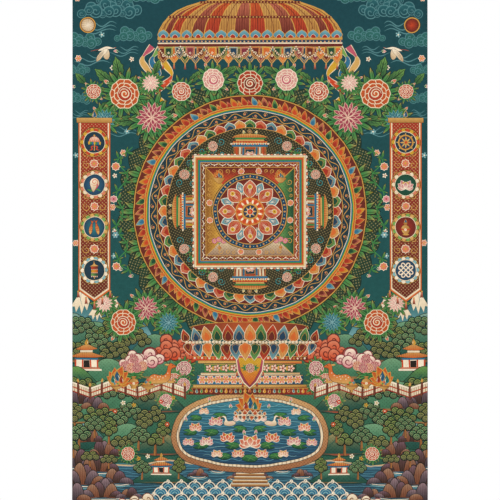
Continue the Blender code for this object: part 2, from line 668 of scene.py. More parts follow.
def lotus_seat(width, height, count, colours):
    """A double row of lotus petals seen from the side: the upper row points up, the lower one hangs."""
    cushion = oval(width * 0.46, height * 0.2, 28) + 0.5j * height
    seat = single(cushion, glowing(ORANGE, MAROON, width * 0.46), GOLD, 0.8)
    for row, sign in enumerate((1, -1)):
        for k, place in sorted(enumerate(np.linspace(-1, 1, count + row)), key=lambda item: -abs(item[1])):
            lift = height * 0.62 * (1 - 0.26 * abs(place) ** 3)
            shape = petal(lift, 1.28 * width / count * (1 - 0.3 * place**2), 0.62, 8)
            leaf = gilt_petal(shape, *PAIRS[colours[k % len(colours)]], 3.0, CREAM, 0.58)
            seat.put(leaf, 0.49 * width * place, 1, 0.25 * sign - 0.05 * place)
    return seat.row([pearl(height * 0.05)], count * 3, 0, 0.49 * width)


def tassel(length, colour=CORAL):
    """A hanging tassel: a gold knob over a skirt that widens downwards."""
    skirt = points(-0.10, -0.25, 0.10, -0.25, 0.20, -1.0, 0, -0.92, -0.20, -1.0) * length
    hanging = single(skirt, graded(colour, MAROON, -0.3j * length, -1j * length))
    return hanging.fill(ring(0.14 * length, 6) - 0.14j * length, GOLD)


def ribbon(path, width, front, back):
    """A floating scarf: its width swings, its back shows in every other fold, and a pale line edges it."""
    folds = 3
    along = np.gradient(path)
    swing = width * (0.28 + 0.72 * np.abs(np.cos(np.pi * folds * np.linspace(0, 1, len(path)))))
    side = 1j * along / np.abs(along) * swing
    stops = np.round(np.clip((np.arange(folds + 2) - 0.5) / folds, 0, 1) * (len(path) - 1)).astype(int)
    scarf = Drawing()
    for share in (0.5, 0.39):
        for k in range(folds + 1):
            piece = slice(stops[k], stops[k + 1] + 1)
            half = share * side[piece]
            fold = np.concatenate([path[piece] + half, (path[piece] - half)[::-1]])
            scarf.fill(fold, CREAM if share == 0.5 else (front, back)[k % 2])
    return scarf


def brocade_tab(width, length, colour, deep):
    """A pointed tab of cloth with a trim line, an inner panel and a small rosette, hanging from 0."""
    shape = points(-0.5, 0, -0.5, -0.62, -0.22, -0.86, 0, -1, 0.22, -0.86, 0.5, -0.62, 0.5, 0)
    shape = shape.real * width + 1j * shape.imag * length
    tab = single(shape, STRAW, INK, 0.35)
    tab.fill(inset(shape, width * 0.09), touched(graded(colour, deep, 0, -1j * length), 3.6, -0.8, "dots"))
    tab.rimmed(inset(shape, width * 0.2), deep, STRAW, width * 0.04)
    return tab.put(blossom(width * 0.15, CREAM, GOLD, 5), -0.5j * length)


def balustrade(length, height, posts, slope):
    """A low fence: pale upright slats between red rails, with gold-capped posts; it may climb sideways."""
    fence = single(box(0, 0, length, 0.8 * height), touched(even(CREAM), 3.8, 1.0, "across"))
    for low, thick, paint in ((0.0, 0.12, RED), (0.42, 0.12, VERMILION), (0.78, 0.2, SHELL)):
        fence.rimmed(box(-1, height * low, length + 1, height * (low + thick)), paint, INK, 0.4)
    cap = single(petal(7, 4.4, 0.62, 5) * 1j, GOLD)
    for x in np.linspace(0, length, posts):
        fence.rimmed(
            box(x - 1.8, -2, x + 1.8, height * 1.1), graded(BROWN, MAROON, x - 1.7, x + 1.7), INK, 0.4
        )
        fence.put(cap, x + 1.08j * height)
    return Drawing((outline + 1j * slope * outline.real, wash) for outline, wash in fence.shapes)


def steps(width, height, count):
    """A flight of steps seen from the front, wider towards its foot, with a lit edge on each step."""
    flight = Drawing()
    for k in reversed(range(count)):
        half = 0.5 * width * (1 - 0.32 * k / count)
        low, high = height * k / count, height * (k + 1) / count
        flight.rimmed(box(-half, low, half, high), graded(STRAW, BROWN, 1j * high, 1j * low), INK, 0.5)
        flight.line(np.array([1 - half, half - 1]) + 1j * (high - 1), 1.2, SHELL, 1.0)
    return flight


def shrine(width):
    """A small shrine: cream steps, red posts about a dark door, two tiled roofs with upturned eaves."""
    house = Drawing()
    for half, low, high, wash in (
        (0.5, 0, 0.07, SHELL), (0.44, 0.07, 0.12, CORAL), (0.36, 0.12, 0.4, SHELL), (0.1, 0.12, 0.34, INK)
    ):
        house.rimmed(box(-half, low, half, high) * width, wash, INK, 0.4)
    for x in (-0.36, -0.13, 0.13, 0.36):
        house.line(points(x, 0.12, x, 0.4) * width, 0.05 * width, VERMILION, 1.0)
    house.rimmed(box(-0.38, 0.36, 0.38, 0.42) * width, BLUE, INK, 0.4)
    for low, half, tall in ((0.42, 0.58, 0.22), (0.66, 0.36, 0.2)):
        roof = points(
            -half, 0.05, -0.5 * half, 0.01, 0, 0, 0.5 * half, 0.01, half, 0.05, 0.42 * half, 0.16,
            0.2 * half, tall, -0.2 * half, tall, -0.42 * half, 0.16
        ) + 1j * low
        tiles = touched(graded(ORANGE, STRAW, 1j * low * width, 1j * (low + tall) * width), 3.4, 0.8)
        house.rimmed(roof * width, tiles, INK, 0.5)
        if half > 0.5:
            house.rimmed(box(-0.2, 0.6, 0.2, 0.67) * width, CREAM, INK, 0.3)
    return house.put(jewel(0.2 * width, YELLOW, OCHRE), 0.84j * width)


# ---------------- animals


def deer():
    """A deer that lies with its legs folded and its head raised, facing right, 48 mm long."""
    hide = graded(ORANGE, STRAW, 18j, -2j)
    animal = single(smooth(8, 3, 18, 4, 25, 1, 20, -1.5, 12, -1), hide, UMBER, 0.5)
    animal.rimmed(smooth(-14, 1, -6, 2, 4, -1, -4, -3, -14, -3), hide, UMBER, 0.5)
    animal.rimmed(
        smooth(
            -22, 0, -23, 6, -20, 12, -13, 15, -4, 14, 4, 14, 9, 18, 11, 25, 12, 31, 16, 35, 20, 34, 26, 30,
            27, 27.5, 23, 26.5, 19, 25, 18, 19, 18, 12, 15, 5, 8, 0, -6, -1.5, -16, -2
        ),
        hide, UMBER, 0.7
    )
    for horn in (course(13, 33, 9, 38, 8, 43), course(14, 34, 16, 39, 14, 45), course(9, 37, 5, 38, 3, 41)):
        animal.line(horn, 1.3, UMBER, 0.4)
    animal.rimmed(
        smooth(15, 33, 9, 34, 6, 31.5, 12, 30), STRAW, UMBER, 0.4
    ).fill(ring(0.9, 6) + 20 + 31j, INK)
    for spot in points(-17, 9, -12, 11.5, -7, 10, -13, 6, -2, 11, 3, 9, -4, 6, 8, 12, 12, 17):
        animal.fill(ring(0.95, 6) + spot, SHELL)
    return animal


def crane():
    """A white crane in flight, facing right, 44 mm across the wings."""
    bird = single(
        smooth(-2, 2, -10, 14, -6, 22, 2, 18, 6, 6), graded(SHELL, BONE, 0, 18j), SLATE, 0.5
    )
    bird.rimmed(
        smooth(-14, -3, -6, -4, 4, -3, 10, 1, 16, 7, 24, 9, 17, 9.5, 9, 6, 2, 3.5, -8, 1), SHELL, SLATE, 0.5
    )
    bird.rimmed(
        smooth(-4, 0, -20, 6, -26, 16, -16, 15, -10, 12, -2, 10, 6, 3), graded(SHELL, BONE, 0, -22 + 14j),
        SLATE, 0.5
    )
    for k in range(5):
        bird.line(points(-4 - 2.5 * k, 3 + 0.6 * k, -9 - 4 * k, 9 + 1.4 * k), 0.8, SLATE, 0.5)
    bird.fill(points(-14, -3, -22, -4.5, -14, -1), INK).line(
        points(-8, -3.4, -18, -7, -26, -9), 0.9, VERMILION, 0.4
    )
    return bird.fill(ring(0.9, 6) + 20.5 + 9j, VERMILION)


def swan():
    """A white water bird with a raised neck, facing right, 22 mm long."""
    body = smooth(-11, 4, -8, 0, 0, -2, 7, 0, 8, 4, 6, 8, 8, 12, 12, 12.5, 8, 15, 4, 13, 3, 8, 0, 6, -6, 7)
    bird = single(
        body, graded(SHELL, BONE, 9j, -2j), SLATE, 0.45
    ).fill(points(-9, 5, -2, 5, 3, 2, -4, 1), BLUSH)
    return bird.fill(points(11, 13.4, 14.5, 12.4, 11, 12), VERMILION)


# ---------------- signs of good fortune, 1 in radius


def wheel_sign():
    """Eight spokes between a hub and a studded rim."""
    sign = Drawing().rings((0.80, GOLD), (0.66, MAROON), (0.60, DEEP_BLUE))
    sign.around(
        [single(petal(0.62, 0.17, 0.9, 4), STRAW)], 8
    ).rings((0.24, GOLD), (0.14, VERMILION), count=10)
    return sign.around([single(petal(0.17, 0.16, 1.0, 4), STRAW)], 8, 0.78)


def knot_sign():
    """The endless knot: three bands each way, joined by loops beyond the corners."""
    sign = Drawing()
    lines = [
        turn * (ring(0.17, 8, -0.35, 0.35) + 0.56 + 0.2j * k)
        for k in (-1, 1)
        for turn in (1, 1j, -1, -1j)
    ]
    lines += [turn * (np.array([-0.56, 0.56]) + 0.34j * k) for k in (-1, 0, 1) for turn in (1, 1j)]
    for width, colour in ((0.17, MAROON), (0.10, SHELL)):
        for path in lines:
            sign.line(path * turned(0.125) * 1.04, width, colour, 1.0)
    return sign


def vase_sign():
    """A round vase with a scarf, a lid and a jewel."""
    sign = Drawing().put(jewel(0.5, BLUE, DEEP_BLUE), 0.38j)
    body = smooth(
        -0.22, -0.72, 0.22, -0.72, 0.5, -0.2, 0.38, 0.12, 0.16, 0.24, -0.16, 0.24, -0.38, 0.12, -0.5, -0.2
    )
    sign.rimmed(body, graded(STRAW, OCHRE, -0.4, 0.4), MAROON, 0.05).fill(box(-0.14, 0.2, 0.14, 0.42), OCHRE)
    sign.rimmed(oval(0.28, 0.08, 12) + 0.42j, GOLD, MAROON, 0.03).fill(oval(0.34, 0.07, 12) - 0.74j, GOLD)
    sign.line(points(-0.5, -0.15, 0, -0.3, 0.5, -0.15), 0.14, VERMILION, 0.8)
    return sign.put(blossom(0.16, SHELL, GOLD), -0.26j)


def parasol_sign():
    """A domed parasol with a frill, on a staff with ribbons."""
    sign = Drawing().line(points(0, -0.85, 0, 0.0, 0, 0.5), 0.09, GOLD, 1.0)
    for side in (1, -1):
        sign.line(course(0, -0.35, 0.3 * side, -0.45, 0.2 * side, -0.7, 0.5 * side, -0.8), 0.13, VERMILION)
    sign.rimmed(ring(0.62, 13, 0.0, 0.5) + 0.02j, graded(SHELL, CORAL, 0.6j, 0), MAROON, 0.05)
    for x in (-0.5, -0.25, 0, 0.25, 0.5):
        sign.line(points(x, 0.05, 0.4 * x, 0.6), 0.05, VERMILION, 0.6)
    flap = points(-0.1, 0, 0.1, 0, 0.08, -0.24, 0, -0.32, -0.08, -0.24)
    sign.row([single(flap, paint) for paint in (YELLOW, LEAF, BLUE)], 7, 0.06j, 0.57)
    return sign.fill(ring(0.1, 8) + 0.7j, GOLD)


def conch_sign():
    """A white shell that winds to the right, with a ribbon."""
    sign = Drawing().line(course(-0.7, -0.5, -0.2, -0.62, 0.2, -0.4, 0.7, -0.6), 0.2, LEAF)
    shell = smooth(
        -0.12, -0.78, 0.2, -0.45, 0.5, 0.0, 0.46, 0.42, 0.15, 0.7, -0.25, 0.66, -0.46, 0.3, -0.4, -0.2
    )
    sign.rimmed(shell, graded(SHELL, BONE, -0.3 + 0.4j, 0.4 - 0.4j), MAROON, 0.05)
    sign.line(0.02 + 0.28j + spiral(0.4, 1.5, 14, 0.6), 0.09, CORAL)
    return sign.line(course(0.1, -0.5, 0.3, -0.1, 0.25, 0.15), 0.14, ROSE)


def fish_sign():
    """Two golden fish side by side, their heads down."""
    body = smooth(0.0, -0.78, 0.2, -0.5, 0.22, 0.0, 0.08, 0.42, 0.26, 0.8, 0.0, 0.66, -0.2, 0.84, -0.04, 0.4,
                  -0.17, 0.0, -0.16, -0.5)
    fish = single(body, graded(STRAW, ORANGE, -0.7j, 0.5j), MAROON, 0.045)
    for k in range(4):
        fish.line(ring(0.13, 5, 0.05, 0.45) + 0.02 + 1j * (-0.42 + 0.22 * k), 0.06, RED)
    return Drawing().put(fish, 0.28, 1, 0.03).put(fish, -0.28, 1, -0.03, mirrored=True)


def banner_sign():
    """A round banner in three tiers, with a peaked top and hanging points."""
    sign = Drawing().line(points(0, -0.9, 0, 0, 0, 0.9), 0.08, GOLD, 1.0)
    point = single(points(-0.08, 0, 0.08, 0, 0, -0.16), BLUSH)
    for y, colours in ((0.42, "red"), (0.06, "gold"), (-0.30, "green")):
        sign.rimmed(box(-0.36, y - 0.34, 0.36, y), graded(*PAIRS[colours], -0.3, 0.3), MAROON, 0.04)
        sign.row([point], 4, 1j * (y - 0.3), 0.27)
    return sign.rimmed(points(-0.48, 0.4, 0.48, 0.4, 0.14, 0.62, 0, 0.85, -0.14, 0.62), STRAW, MAROON, 0.04)


def lotus_sign():
    """An open lotus with two leaves."""
    leaf = single(petal(0.75, 0.42, 1.2, 5), LEAF)
    return Drawing().put(leaf, -0.35j, 1, 0.03).put(leaf, -0.35j, 1, 0.47).put(
        lotus(0.95, ROSE, SHELL), -0.42j
    )


def roundel(radius, sign, ground, deep, petals):
    """A medallion: gold and dark rims, a ring of small petals, and a sign on a glowing ground."""
    disc = Drawing().rings((radius, INK), (radius * 0.965, GOLD), (radius * 0.92, MAROON), count=36)
    disc.around(
        [single(petal(radius * 0.24, radius * 0.3, 0.9, 5), colour) for colour in petals], 18, radius * 0.70
    )
    disc.rings((radius * 0.745, CREAM), (radius * 0.70, glowing(ground, deep, radius * 0.7)), count=32)
    return disc.put(sign, 0, radius * 0.66)


# ---------------- the great wheel of petals and gates

WHEEL_CENTRE = 505j
WHEEL_RADIUS = 196.0
WREATH_RADIUS = 216.0
WREATH_LOBES = 36
FLAME_FOOT = 178.0
SCROLL_OUTER = 170.0
PETAL_OUTER = 156.0
FIELD_RADIUS = 141.0
WALL_HALF = 95.0
FLOOR_HALF = 74.0
HEART_RADIUS = 64.0
QUARTERS = (  # the floor's four quarters, from the right one round, with their gates' colours
    {"floor": pigment("5d8a4d"), "deep": LEAF_DARK, "gate": LEAF},
    {"floor": pigment("b8472a"), "deep": MAROON, "gate": VERMILION},
    {"floor": pigment("c99a42"), "deep": pigment("8a5a28"), "gate": YELLOW},
    {"floor": pigment("cdb897"), "deep": pigment("937662"), "gate": CREAM},
)


def flame_border(wheel):
    """The wheel's rim: two rings of flames on dark red, between gold lines and a rainbow."""
    wheel.rings((WHEEL_RADIUS + 2, INK), (WHEEL_RADIUS + 1, GOLD), (WHEEL_RADIUS - 0.6, MAROON), count=90)
    length = WHEEL_RADIUS - FLAME_FOOT
    embers = [flame(length - 6, light, deep, MAROON) for light, deep in ((CORAL, RED), (STRAW, ORANGE))]
    wheel.around(embers, 66, FLAME_FOOT, start=0.5 / 66)
    fires = (
        (YELLOW, VERMILION), (ORANGE, RED), (LEAF_LIGHT, LEAF_DARK), (CORAL, MAROON), (PALE_BLUE, BLUE),
        (ORANGE, RED)
    )
    wheel.around([flame(length - 0.5, light, deep) for light, deep in fires], 66, FLAME_FOOT - 1)
    rainbow = enumerate((GOLD, VERMILION, YELLOW, LEAF, BLUE, CREAM))
    wheel.rings(*((FLAME_FOOT + 1.6 - 1.7 * k, colour) for k, colour in rainbow), count=90)


def scroll_border(wheel):
    """A dark ring with a running gold vine and coral buds, then the ring of lotus petals."""
    middle = 0.5 * (SCROLL_OUTER + PETAL_OUTER)
    swing = (SCROLL_OUTER - PETAL_OUTER) * 0.30
    wheel.fill(ring(SCROLL_OUTER, 90), NIGHT)
    t = np.linspace(0, 1, 241)
    vine = (middle + swing * np.sin(60 * np.pi * t)) * turned(t)
    for start in range(0, 240, 30):
        wheel.line(vine[start : start + 31], 1.1, GOLD, 1.0)
    curl = Drawing().line(spiral(swing * 1.05, 1.1, 8, 0.5), 1.0, GOLD).fill(ring(1.5, 6), CORAL)
    for k in range(60):
        side, place = (1 if k % 2 else -1), (k + 0.5) / 60
        wheel.put(curl, (middle + side * swing * 0.45) * turned(place), 1, place + 0.25 * side)
    wheel.rings((PETAL_OUTER + 1.2, GOLD), (PETAL_OUTER, MAROON), count=90)
    depth = PETAL_OUTER - FIELD_RADIUS + 4
    shape = petal(depth, depth * 1.18, 0.85, 7)
    colours = [PAIRS[name] for name in ("coral", "green", "straw", "blue")]
    leaves = [gilt_petal(shape, light, deep, 3.2, SHELL, 0.62) for light, deep in colours]
    wheel.around(leaves, 52, FIELD_RADIUS - 4.5)
    field = touched(glowing(pigment("4b4a30"), pigment("2c2a1e"), FIELD_RADIUS), 6.0, -0.4, "dots")
    wheel.rings((FIELD_RADIUS + 0.9, GOLD), (FIELD_RADIUS, field), count=84)


def gate(colour):
    """A gate that points outwards along +imaginary: posts, tiers of eaves and a small wheel on top."""
    tower = single(box(-27, -2, 27, 14), graded(MAROON, RED, 0, 14j), GOLD, 1.0)
    for side in (1, -1):
        for k, paint in enumerate((colour, CREAM, BLUE)):
            x = side * (22 - 5.5 * k)
            tower.rimmed(box(x - 2, -2, x + 2, 14), graded(paint, INK_GREEN, x - 2, x + 7, 1.5), GOLD, 0.5)
    tower.rimmed(box(-8, -2, 8, 11), NIGHT, GOLD, 0.8).put(lotus(9, ROSE, SHELL), -1j)
    tiers = (
        (30, 14.0, 3.4, BLUE), (33, 17.4, 3.0, CREAM), (29, 20.4, 3.4, VERMILION), (24, 23.8, 3.0, STRAW)
    )
    for half, low, tall, paint in tiers + ((26, 26.8, 3.2, LEAF),):
        tower.rimmed(box(-half, low, half, low + tall), paint, INK, 0.35)
    tower.row([single(ring(1.3, 5), paint) for paint in (VERMILION, BLUE)], 15, 18.9j, 28)
    tower.row([single(points(-1.9, 0, 1.9, 0, 0, 3), GOLD)], 13, 20.4j, 27)
    roof = points(-31, 30, 31, 30, 24, 33.5, 12, 36.5, -12, 36.5, -24, 33.5)
    tower.rimmed(roof, touched(graded(ORANGE, STRAW, 30j, 36j), 3.0, 0.9), GOLD, 0.7)
    tower.pair(bud(7, YELLOW, SHELL), 9.5 + 36j, 1, 0.19)
    return tower.put(wheel_sign(), 40j, 4.6)


def field_flowers(wheel):
    """Between the wall and the petals: blue spirals, and flowers on sprays of leaves at the corners."""
    for k in range(4):
        for side in (1, -1):
            for radius, far, lean in (
                (9, 124, 0.085), (7, 128, 0.062), (8, 112, 0.0975), (6, 131, 0.108), (5, 108, 0.073)
            ):
                centre = far * turned(0.25 * k + side * lean)
                wheel.line(centre + spiral(radius, 1.4 * side, 13, 0.25 * k + 0.3), 1.3, TURQUOISE)
    for k in range(4):
        corner = 0.125 + 0.25 * k
        for lean in (-0.2, 0.2, -0.09, 0.09):
            wheel.put(leaf_spray(14), 128 * turned(corner + 0.2 * lean), 1, corner + lean + 0.5)
        for lean in (-0.043, 0.043):
            wheel.put(peony(8.5, MAROON, CORAL, SHELL), 127.5 * turned(corner + lean))
        wheel.put(aster(9, BLUE, PALE_BLUE, SHELL), 122 * turned(corner))


def wall_strips(wheel):
    """The square wall: round merlons, coloured strips and a frieze hung with beads and jewels."""
    merlons = [single(ring(2.8, 6, 0.0, 0.5), paint) for paint in (SHELL, CORAL)]
    parapet = Drawing().row(merlons, 34, 1j * (WALL_HALF - 0.5), 0.97 * WALL_HALF)
    wheel.around([parapet], 4)
    half = WALL_HALF
    for paint, thick in (
        (INK, 0.6), (CREAM, 2.2), (STRAW, 2.0), (VERMILION, 2.4), (LEAF, 2.2), (BLUE, 2.2), (GOLD, 0.9)
    ):
        wheel.fill(box(-half, -half, half, half), paint)
        half -= thick
    wheel.fill(
        box(-half, -half, half, half),
        touched(graded(MAROON, pigment("8d2f24"), -half, half), 5.0, -0.6, "dots")
    )
    swag = Drawing()
    step = half / 6.2
    for k in range(12):
        x = (k - 6) * step
        swag.line(sag(x + 1j * (half - 1.3), x + step + 1j * (half - 1.3), 3.2, 6), 1.0, SHELL, 0.8)
        swag.put(jewel(4.6, BLUE if k % 2 else YELLOW, INK_GREEN), x + 1j * (half - 1.0), 1, 0.5)
        swag.put(pearl(1.1), x + 0.5 * step + 1j * (half - 5.4))
    wheel.around([swag], 4).fill(box(-1, -1, 1, 1) * (FLOOR_HALF + 1), GOLD)


def offering(flowers):
    """What stands on a quarter's diagonal, its foot at 0: a vase of flowers, or a bowl of blazing jewels."""
    group = Drawing()
    if not flowers:
        bowl = smooth(-3, -4, 3, -4, 8, 1, 9, 5, -9, 5, -8, 1)
        return group.put(blazing_jewels(11), 4j).rimmed(bowl, graded(STRAW, OCHRE, -8, 8), MAROON, 0.5)
    for lean in (-0.1, 0.1, 0.0):
        group.line(np.array([3j, 6j + 3 * lean, 11j * turned(lean)]), 0.9, LEAF, 0.8)
        group.put(blossom(4.8, PINK, YELLOW, 8, WINE), 13j * turned(lean))
    return group.put(vase_sign(), 0.5j, 6.5)


def floor_quarters(wheel):
    """The floor inside the wall: four coloured quarters with scrolls, small flowers and offerings."""
    for k, quarter in enumerate(QUARTERS):
        direction = turned(0.25 * k)
        corner = FLOOR_HALF * (1 + 1j)
        shade = graded(quarter["floor"], quarter["deep"], 55 * direction, FLOOR_HALF * direction)
        shade = touched(shade, 5.5, 0.6, "dots")
        wheel.fill(np.array([0, np.conj(corner), corner]) * direction, shade)
        for side in (1, -1):
            for radius, x, y in ((5.5, 67, 50), (4.5, 68, 38), (3.6, 69, 28)):
                place = (x + 1j * side * y) * direction
                wheel.line(spiral(radius, 1.3 * side, 11, 0.25 * k + 0.5) + place, 1.1, GOLD)
            wheel.put(blossom(5.2, CORAL, YELLOW, 8, SHELL), (68 + 15j * side) * direction)
    for corner in (1 + 1j, -1 + 1j, 1 - 1j, -1 - 1j):
        wheel.line(np.array([0.8, 1.0]) * FLOOR_HALF * corner, 1.1, GOLD, 1.0)
    for k, at in enumerate((52 + 52j, -52 + 52j, -52 - 60j, 52 - 60j)):
        wheel.put(offering(k > 1), at)


def heart_lotus(wheel):
    """The heart of the wheel: a banded circle with small and great petals about a jewel wheel."""
    inner = HEART_RADIUS - 9.4
    wheel.rings((HEART_RADIUS + 1, INK), (HEART_RADIUS, GOLD), (HEART_RADIUS - 1.6, DEEP_BLUE), count=60)
    lozenge = single(points(-2.5, 0, 0, -1.6, 2.5, 0, 0, 1.6), STRAW).fill(ring(0.8, 5), VERMILION)
    wheel.around([lozenge, single(ring(1.0, 6), PALE_BLUE)], 64, HEART_RADIUS - 5.0)
    wheel.rings((inner + 1.2, GOLD), (inner, glowing(pigment("b5432a"), MAROON, inner)), count=60)
    small = single(petal(24, 15, 0.95, 7), graded(LEAF_DARK, LEAF_LIGHT, 0, 24), SHELL, 0.7)
    wheel.around([small], 8, inner - 25, start=1 / 16)
    for light, deep, length, broad, phase in ((PALE_BLUE, BLUE, 22, 14, 1 / 16), (CORAL, RED, 31, 24, 0)):
        shape = petal(length, broad, 0.9, 9)
        great = single(shape, touched(graded(deep, light, 0, length), 3.0, 0.4), SHELL, 0.9)
        great.rimmed(
            shape * 0.66 + length * 0.06, touched(graded(light, deep, 0, length * 0.7), 3.0, 0.4), GOLD, 0.6
        )
        for lean in (-0.02, 0.0, 0.02):
            great.line(np.array([0.25, 0.45, 0.62]) * length * turned(lean), 0.8, SHELL)
        if phase == 0:
            great.put(blossom(4.2, YELLOW, MAROON, 8, SHELL), 0.62 * length)
        wheel.around([great], 8, inner - length - 1, start=phase)
    wheel.rings((24.5, GOLD), (23.2, glowing(YELLOW, ORANGE, 23)), count=36)
    wheel.around([single(petal(11, 5.2, 0.9, 5), VERMILION), single(petal(9, 3.6, 0.9, 4), SHELL)], 24, 12.5)
    wheel.put(wheel_sign(), 0, 17.5).put(blossom(5.6, VERMILION, GOLD, 8, SHELL))


def gates(wheel):
    """Four gates on the middles of the wall's sides."""
    for k, quarter in enumerate(QUARTERS):
        wheel.put(gate(quarter["gate"]), WALL_HALF * turned(0.25 * k), 1, 0.25 * k - 0.25)


def great_wheel(drawing):
    """The round design in the middle of the cloth, each of its parts drawn about 0."""
    wheel = Drawing()
    for part in (flame_border, scroll_border, field_flowers, gates, wall_strips, floor_quarters, heart_lotus):
        part(wheel)
    drawing.put(wheel, WHEEL_CENTRE)


# ---------------- canopy

CANOPY_FOOT = 784.0
CANOPY_HALF = 156.0
CANOPY_RISE = 68.0


def dome_rib(lean):
    """A rib of the canopy from rim to crown: it rises as a sine and nears the middle as a cosine."""
    t = np.linspace(0, 0.94, 9)
    reach = (CANOPY_HALF - 1) * np.cos(0.5 * np.pi * t) ** 0.75
    return lean * reach + 1j * (CANOPY_FOOT + 14 + CANOPY_RISE * np.sin(0.5 * np.pi * t))


def canopy(cover):
    """A round parasol over the wheel: ribbed dome, banded rim, frill of tabs, bead swags and streamers."""
    foot = 1j * CANOPY_FOOT
    for x, front, back in ((-26, VERMILION, YELLOW), (-6, LEAF_LIGHT, BLUE), (10, ROSE, STRAW)):
        route = CANOPY_HALF + x + foot + course(0, 0, 16, -24, 2, -50, 26, -76, 16, -98, steps=7)
        cover.pair(Drawing().put(ribbon(route, 12, front, back)), 0j)
    ribs = [dome_rib(np.sin(0.5 * np.pi * lean)) for lean in np.linspace(-1, 1, 19)]
    for k, (left, right) in enumerate(zip(ribs, ribs[1:])):
        light, deep = ((ORANGE, RED), (STRAW, OCHRE), (CORAL, MAROON))[k % 3]
        shade = graded(deep, light, left[0], left[0] + 1j * (CANOPY_RISE + 14))
        cover.fill(np.concatenate([left, right[::-1]]), touched(shade, 4.2, 0.7))
        cover.line(0.5 * (left + right), 0.9, MAROON, 0.6)
    for rib in ribs:
        cover.line(rib, 1.6, GOLD, 1.0)
    for step in (3, 6):
        band = np.array([dome_rib(lean)[step] for lean in np.linspace(-1, 1, 9)])
        cover.line(band, 4.2, MAROON, 1.0).strung(pearl(1.4, STRAW, OCHRE), band, 5.4)
    crown = foot + 1j * (CANOPY_RISE + 13)
    cover.rimmed(oval(20, 4, 16) + crown, GOLD, INK, 0.5).put(lotus(13, VERMILION, STRAW), crown)
    scallop = single(petal(17, 20, 0.8, 6) * 1j, graded(BLUE, PALE_BLUE, 0, 17j), GOLD, 1.0)
    scallop.rimmed(petal(9, 10, 0.8, 5) * 1j, RED, CREAM, 0.6)
    cover.row([scallop], 16, foot + 12j, CANOPY_HALF * 15 / 16)
    for low, high, paint in ((10.4, 14, GOLD), (6, 10.8, DEEP_BLUE), (3.8, 6.4, CREAM), (-1.8, 4.2, MAROON)):
        cover.fill(box(-CANOPY_HALF, low, CANOPY_HALF, high) + foot, paint)
    cover.row([pearl(1.5, STRAW), pearl(1.5, CORAL)], 48, foot + 8.6j, 0.98 * CANOPY_HALF)
    colours = [PAIRS[name] for name in ("red", "gold", "green", "blue", "rose")]
    for wide, long, count, last in ((19, 30, 17, 0), (16, 22, 16, 1)):
        tabs = [brocade_tab(wide, long, *colours[(k + 2 * last) % 5]) for k in range(5)]
        if not last:
            tabs = [tab.put(tassel(10), 1j * (1 - long)) for tab in tabs]
        cover.row(tabs, count, foot, (count - 1) / 17 * CANOPY_HALF)
    for k in range(8):
        left, right = (foot - 1j + CANOPY_HALF * (0.25 * j - 1) for j in (k, k + 1))
        cover.line(
            sag(left, right, 17, 9), 2.6, MAROON, 1.0
        ).strung(pearl(1.5), sag(left, right, 17, 11), 3.8)
        cover.put(jewel(7, TURQUOISE, LEAF_DARK), left - 2j, 1, 0.5)


# ---------------- the whole picture


def sky(drawing):
    """Deep blue green that lightens downwards, with clouds in thin blue lines, and sun and moon."""
    edge = HALF_WIDTH + 5
    drawing.fill(box(-edge, -5, edge, HEIGHT + 5), graded(SKY, SKY_DEEP, 200j, 1j * HEIGHT))
    low_cloud = bank(70, 2, 8.0, SKY_LINE, SKY, pigment("2c6462"))
    drawing.pairs(
        [bank(104, 3, 9.0, SKY_LINE, SKY_DEEP, CLOUD_BLUE), low_cloud], (238, 842), (198, 800, 0.9)
    )
    drawing.pairs([low_cloud], (284, 790, 0.9), (176, 866, 0.9), (296, 742, 0.7), (288, 694, 0.7))
    drawing.pairs(
        [wisp(62, 7, SKY_LINE)], (226, 816), (188, 776, 0.8), (236, 762), (190, 640, 0.8), (272, 670, 0.6)
    )
    for side, light, deep in ((1, VERMILION, MAROON), (-1, SHELL, BONE)):
        disc = Drawing().rings(
            (14, INK), (13.4, GOLD), (11.6, MAROON), (10.6, touched(glowing(light, deep, 11), 4.0, 0.4))
        )
        drawing.put(disc, side * 274 + 820j)


def drifting(drawing):
    """Blossoms and buds that drift down the sky, and cranes among the clouds."""
    kinds = (blossom(5.4, CORAL, YELLOW, 6, SHELL), blossom(4.6, SHELL, ORANGE, 5), bud(9, ROSE, SHELL),
             blossom(5.2, PALE_BLUE, SHELL, 5))
    drawing.pairs(
        kinds, (292, 866), (200, 762), (222, 776), (250, 804), (290, 764), (232, 748), (294, 716),
        (208, 640), (214, 604), (228, 566), (214, 408), (230, 430), (232, 512), (228, 472), (196, 396),
        (294, 600), (294, 452)
    )
    drawing.pair(crane(), 246 + 780j, 0.85, 0.42)


def far_hills(drawing):
    """Snow peaks, then hills and woods that rise at both sides below the wheel."""
    drawing.pairs([peak(34, 62)], (230, 302), (284, 306, 1.15), (258, 300, 0.9), (192, 290, 0.9))
    blue_hill = mound(60, 52, pigment("86a89a"), pigment("2c5f64"), foot=None)
    green_hill = mound(78, 66, HILL_LIGHT, HILL_DARK)
    drawing.pairs([blue_hill], (300, 282), (226, 270, 0.9)).pairs([green_hill], (262, 254), (160, 246, 0.8))
    woods = [grove(8.0, 5, 3, tint) for tint in range(3)]
    drawing.pairs(woods, (284, 304), (232, 298), (196, 284), (262, 276), (300, 262), (226, 262))
    drawing.fill(box(-170, 190, 170, 262), touched(graded(HILL, HILL_DARK, 262j, 200j), 6.0, 0.5, "dots"))
    drawing.pairs([mound(52, 40, HILL_LIGHT, HILL)], (240, 218), (160, 226, 1.1))
    drawing.pair(shrine(52), 276 + 236j)
    drawing.pairs([mound(52, 40, LEAF_LIGHT, HILL_DARK)], (296, 204))


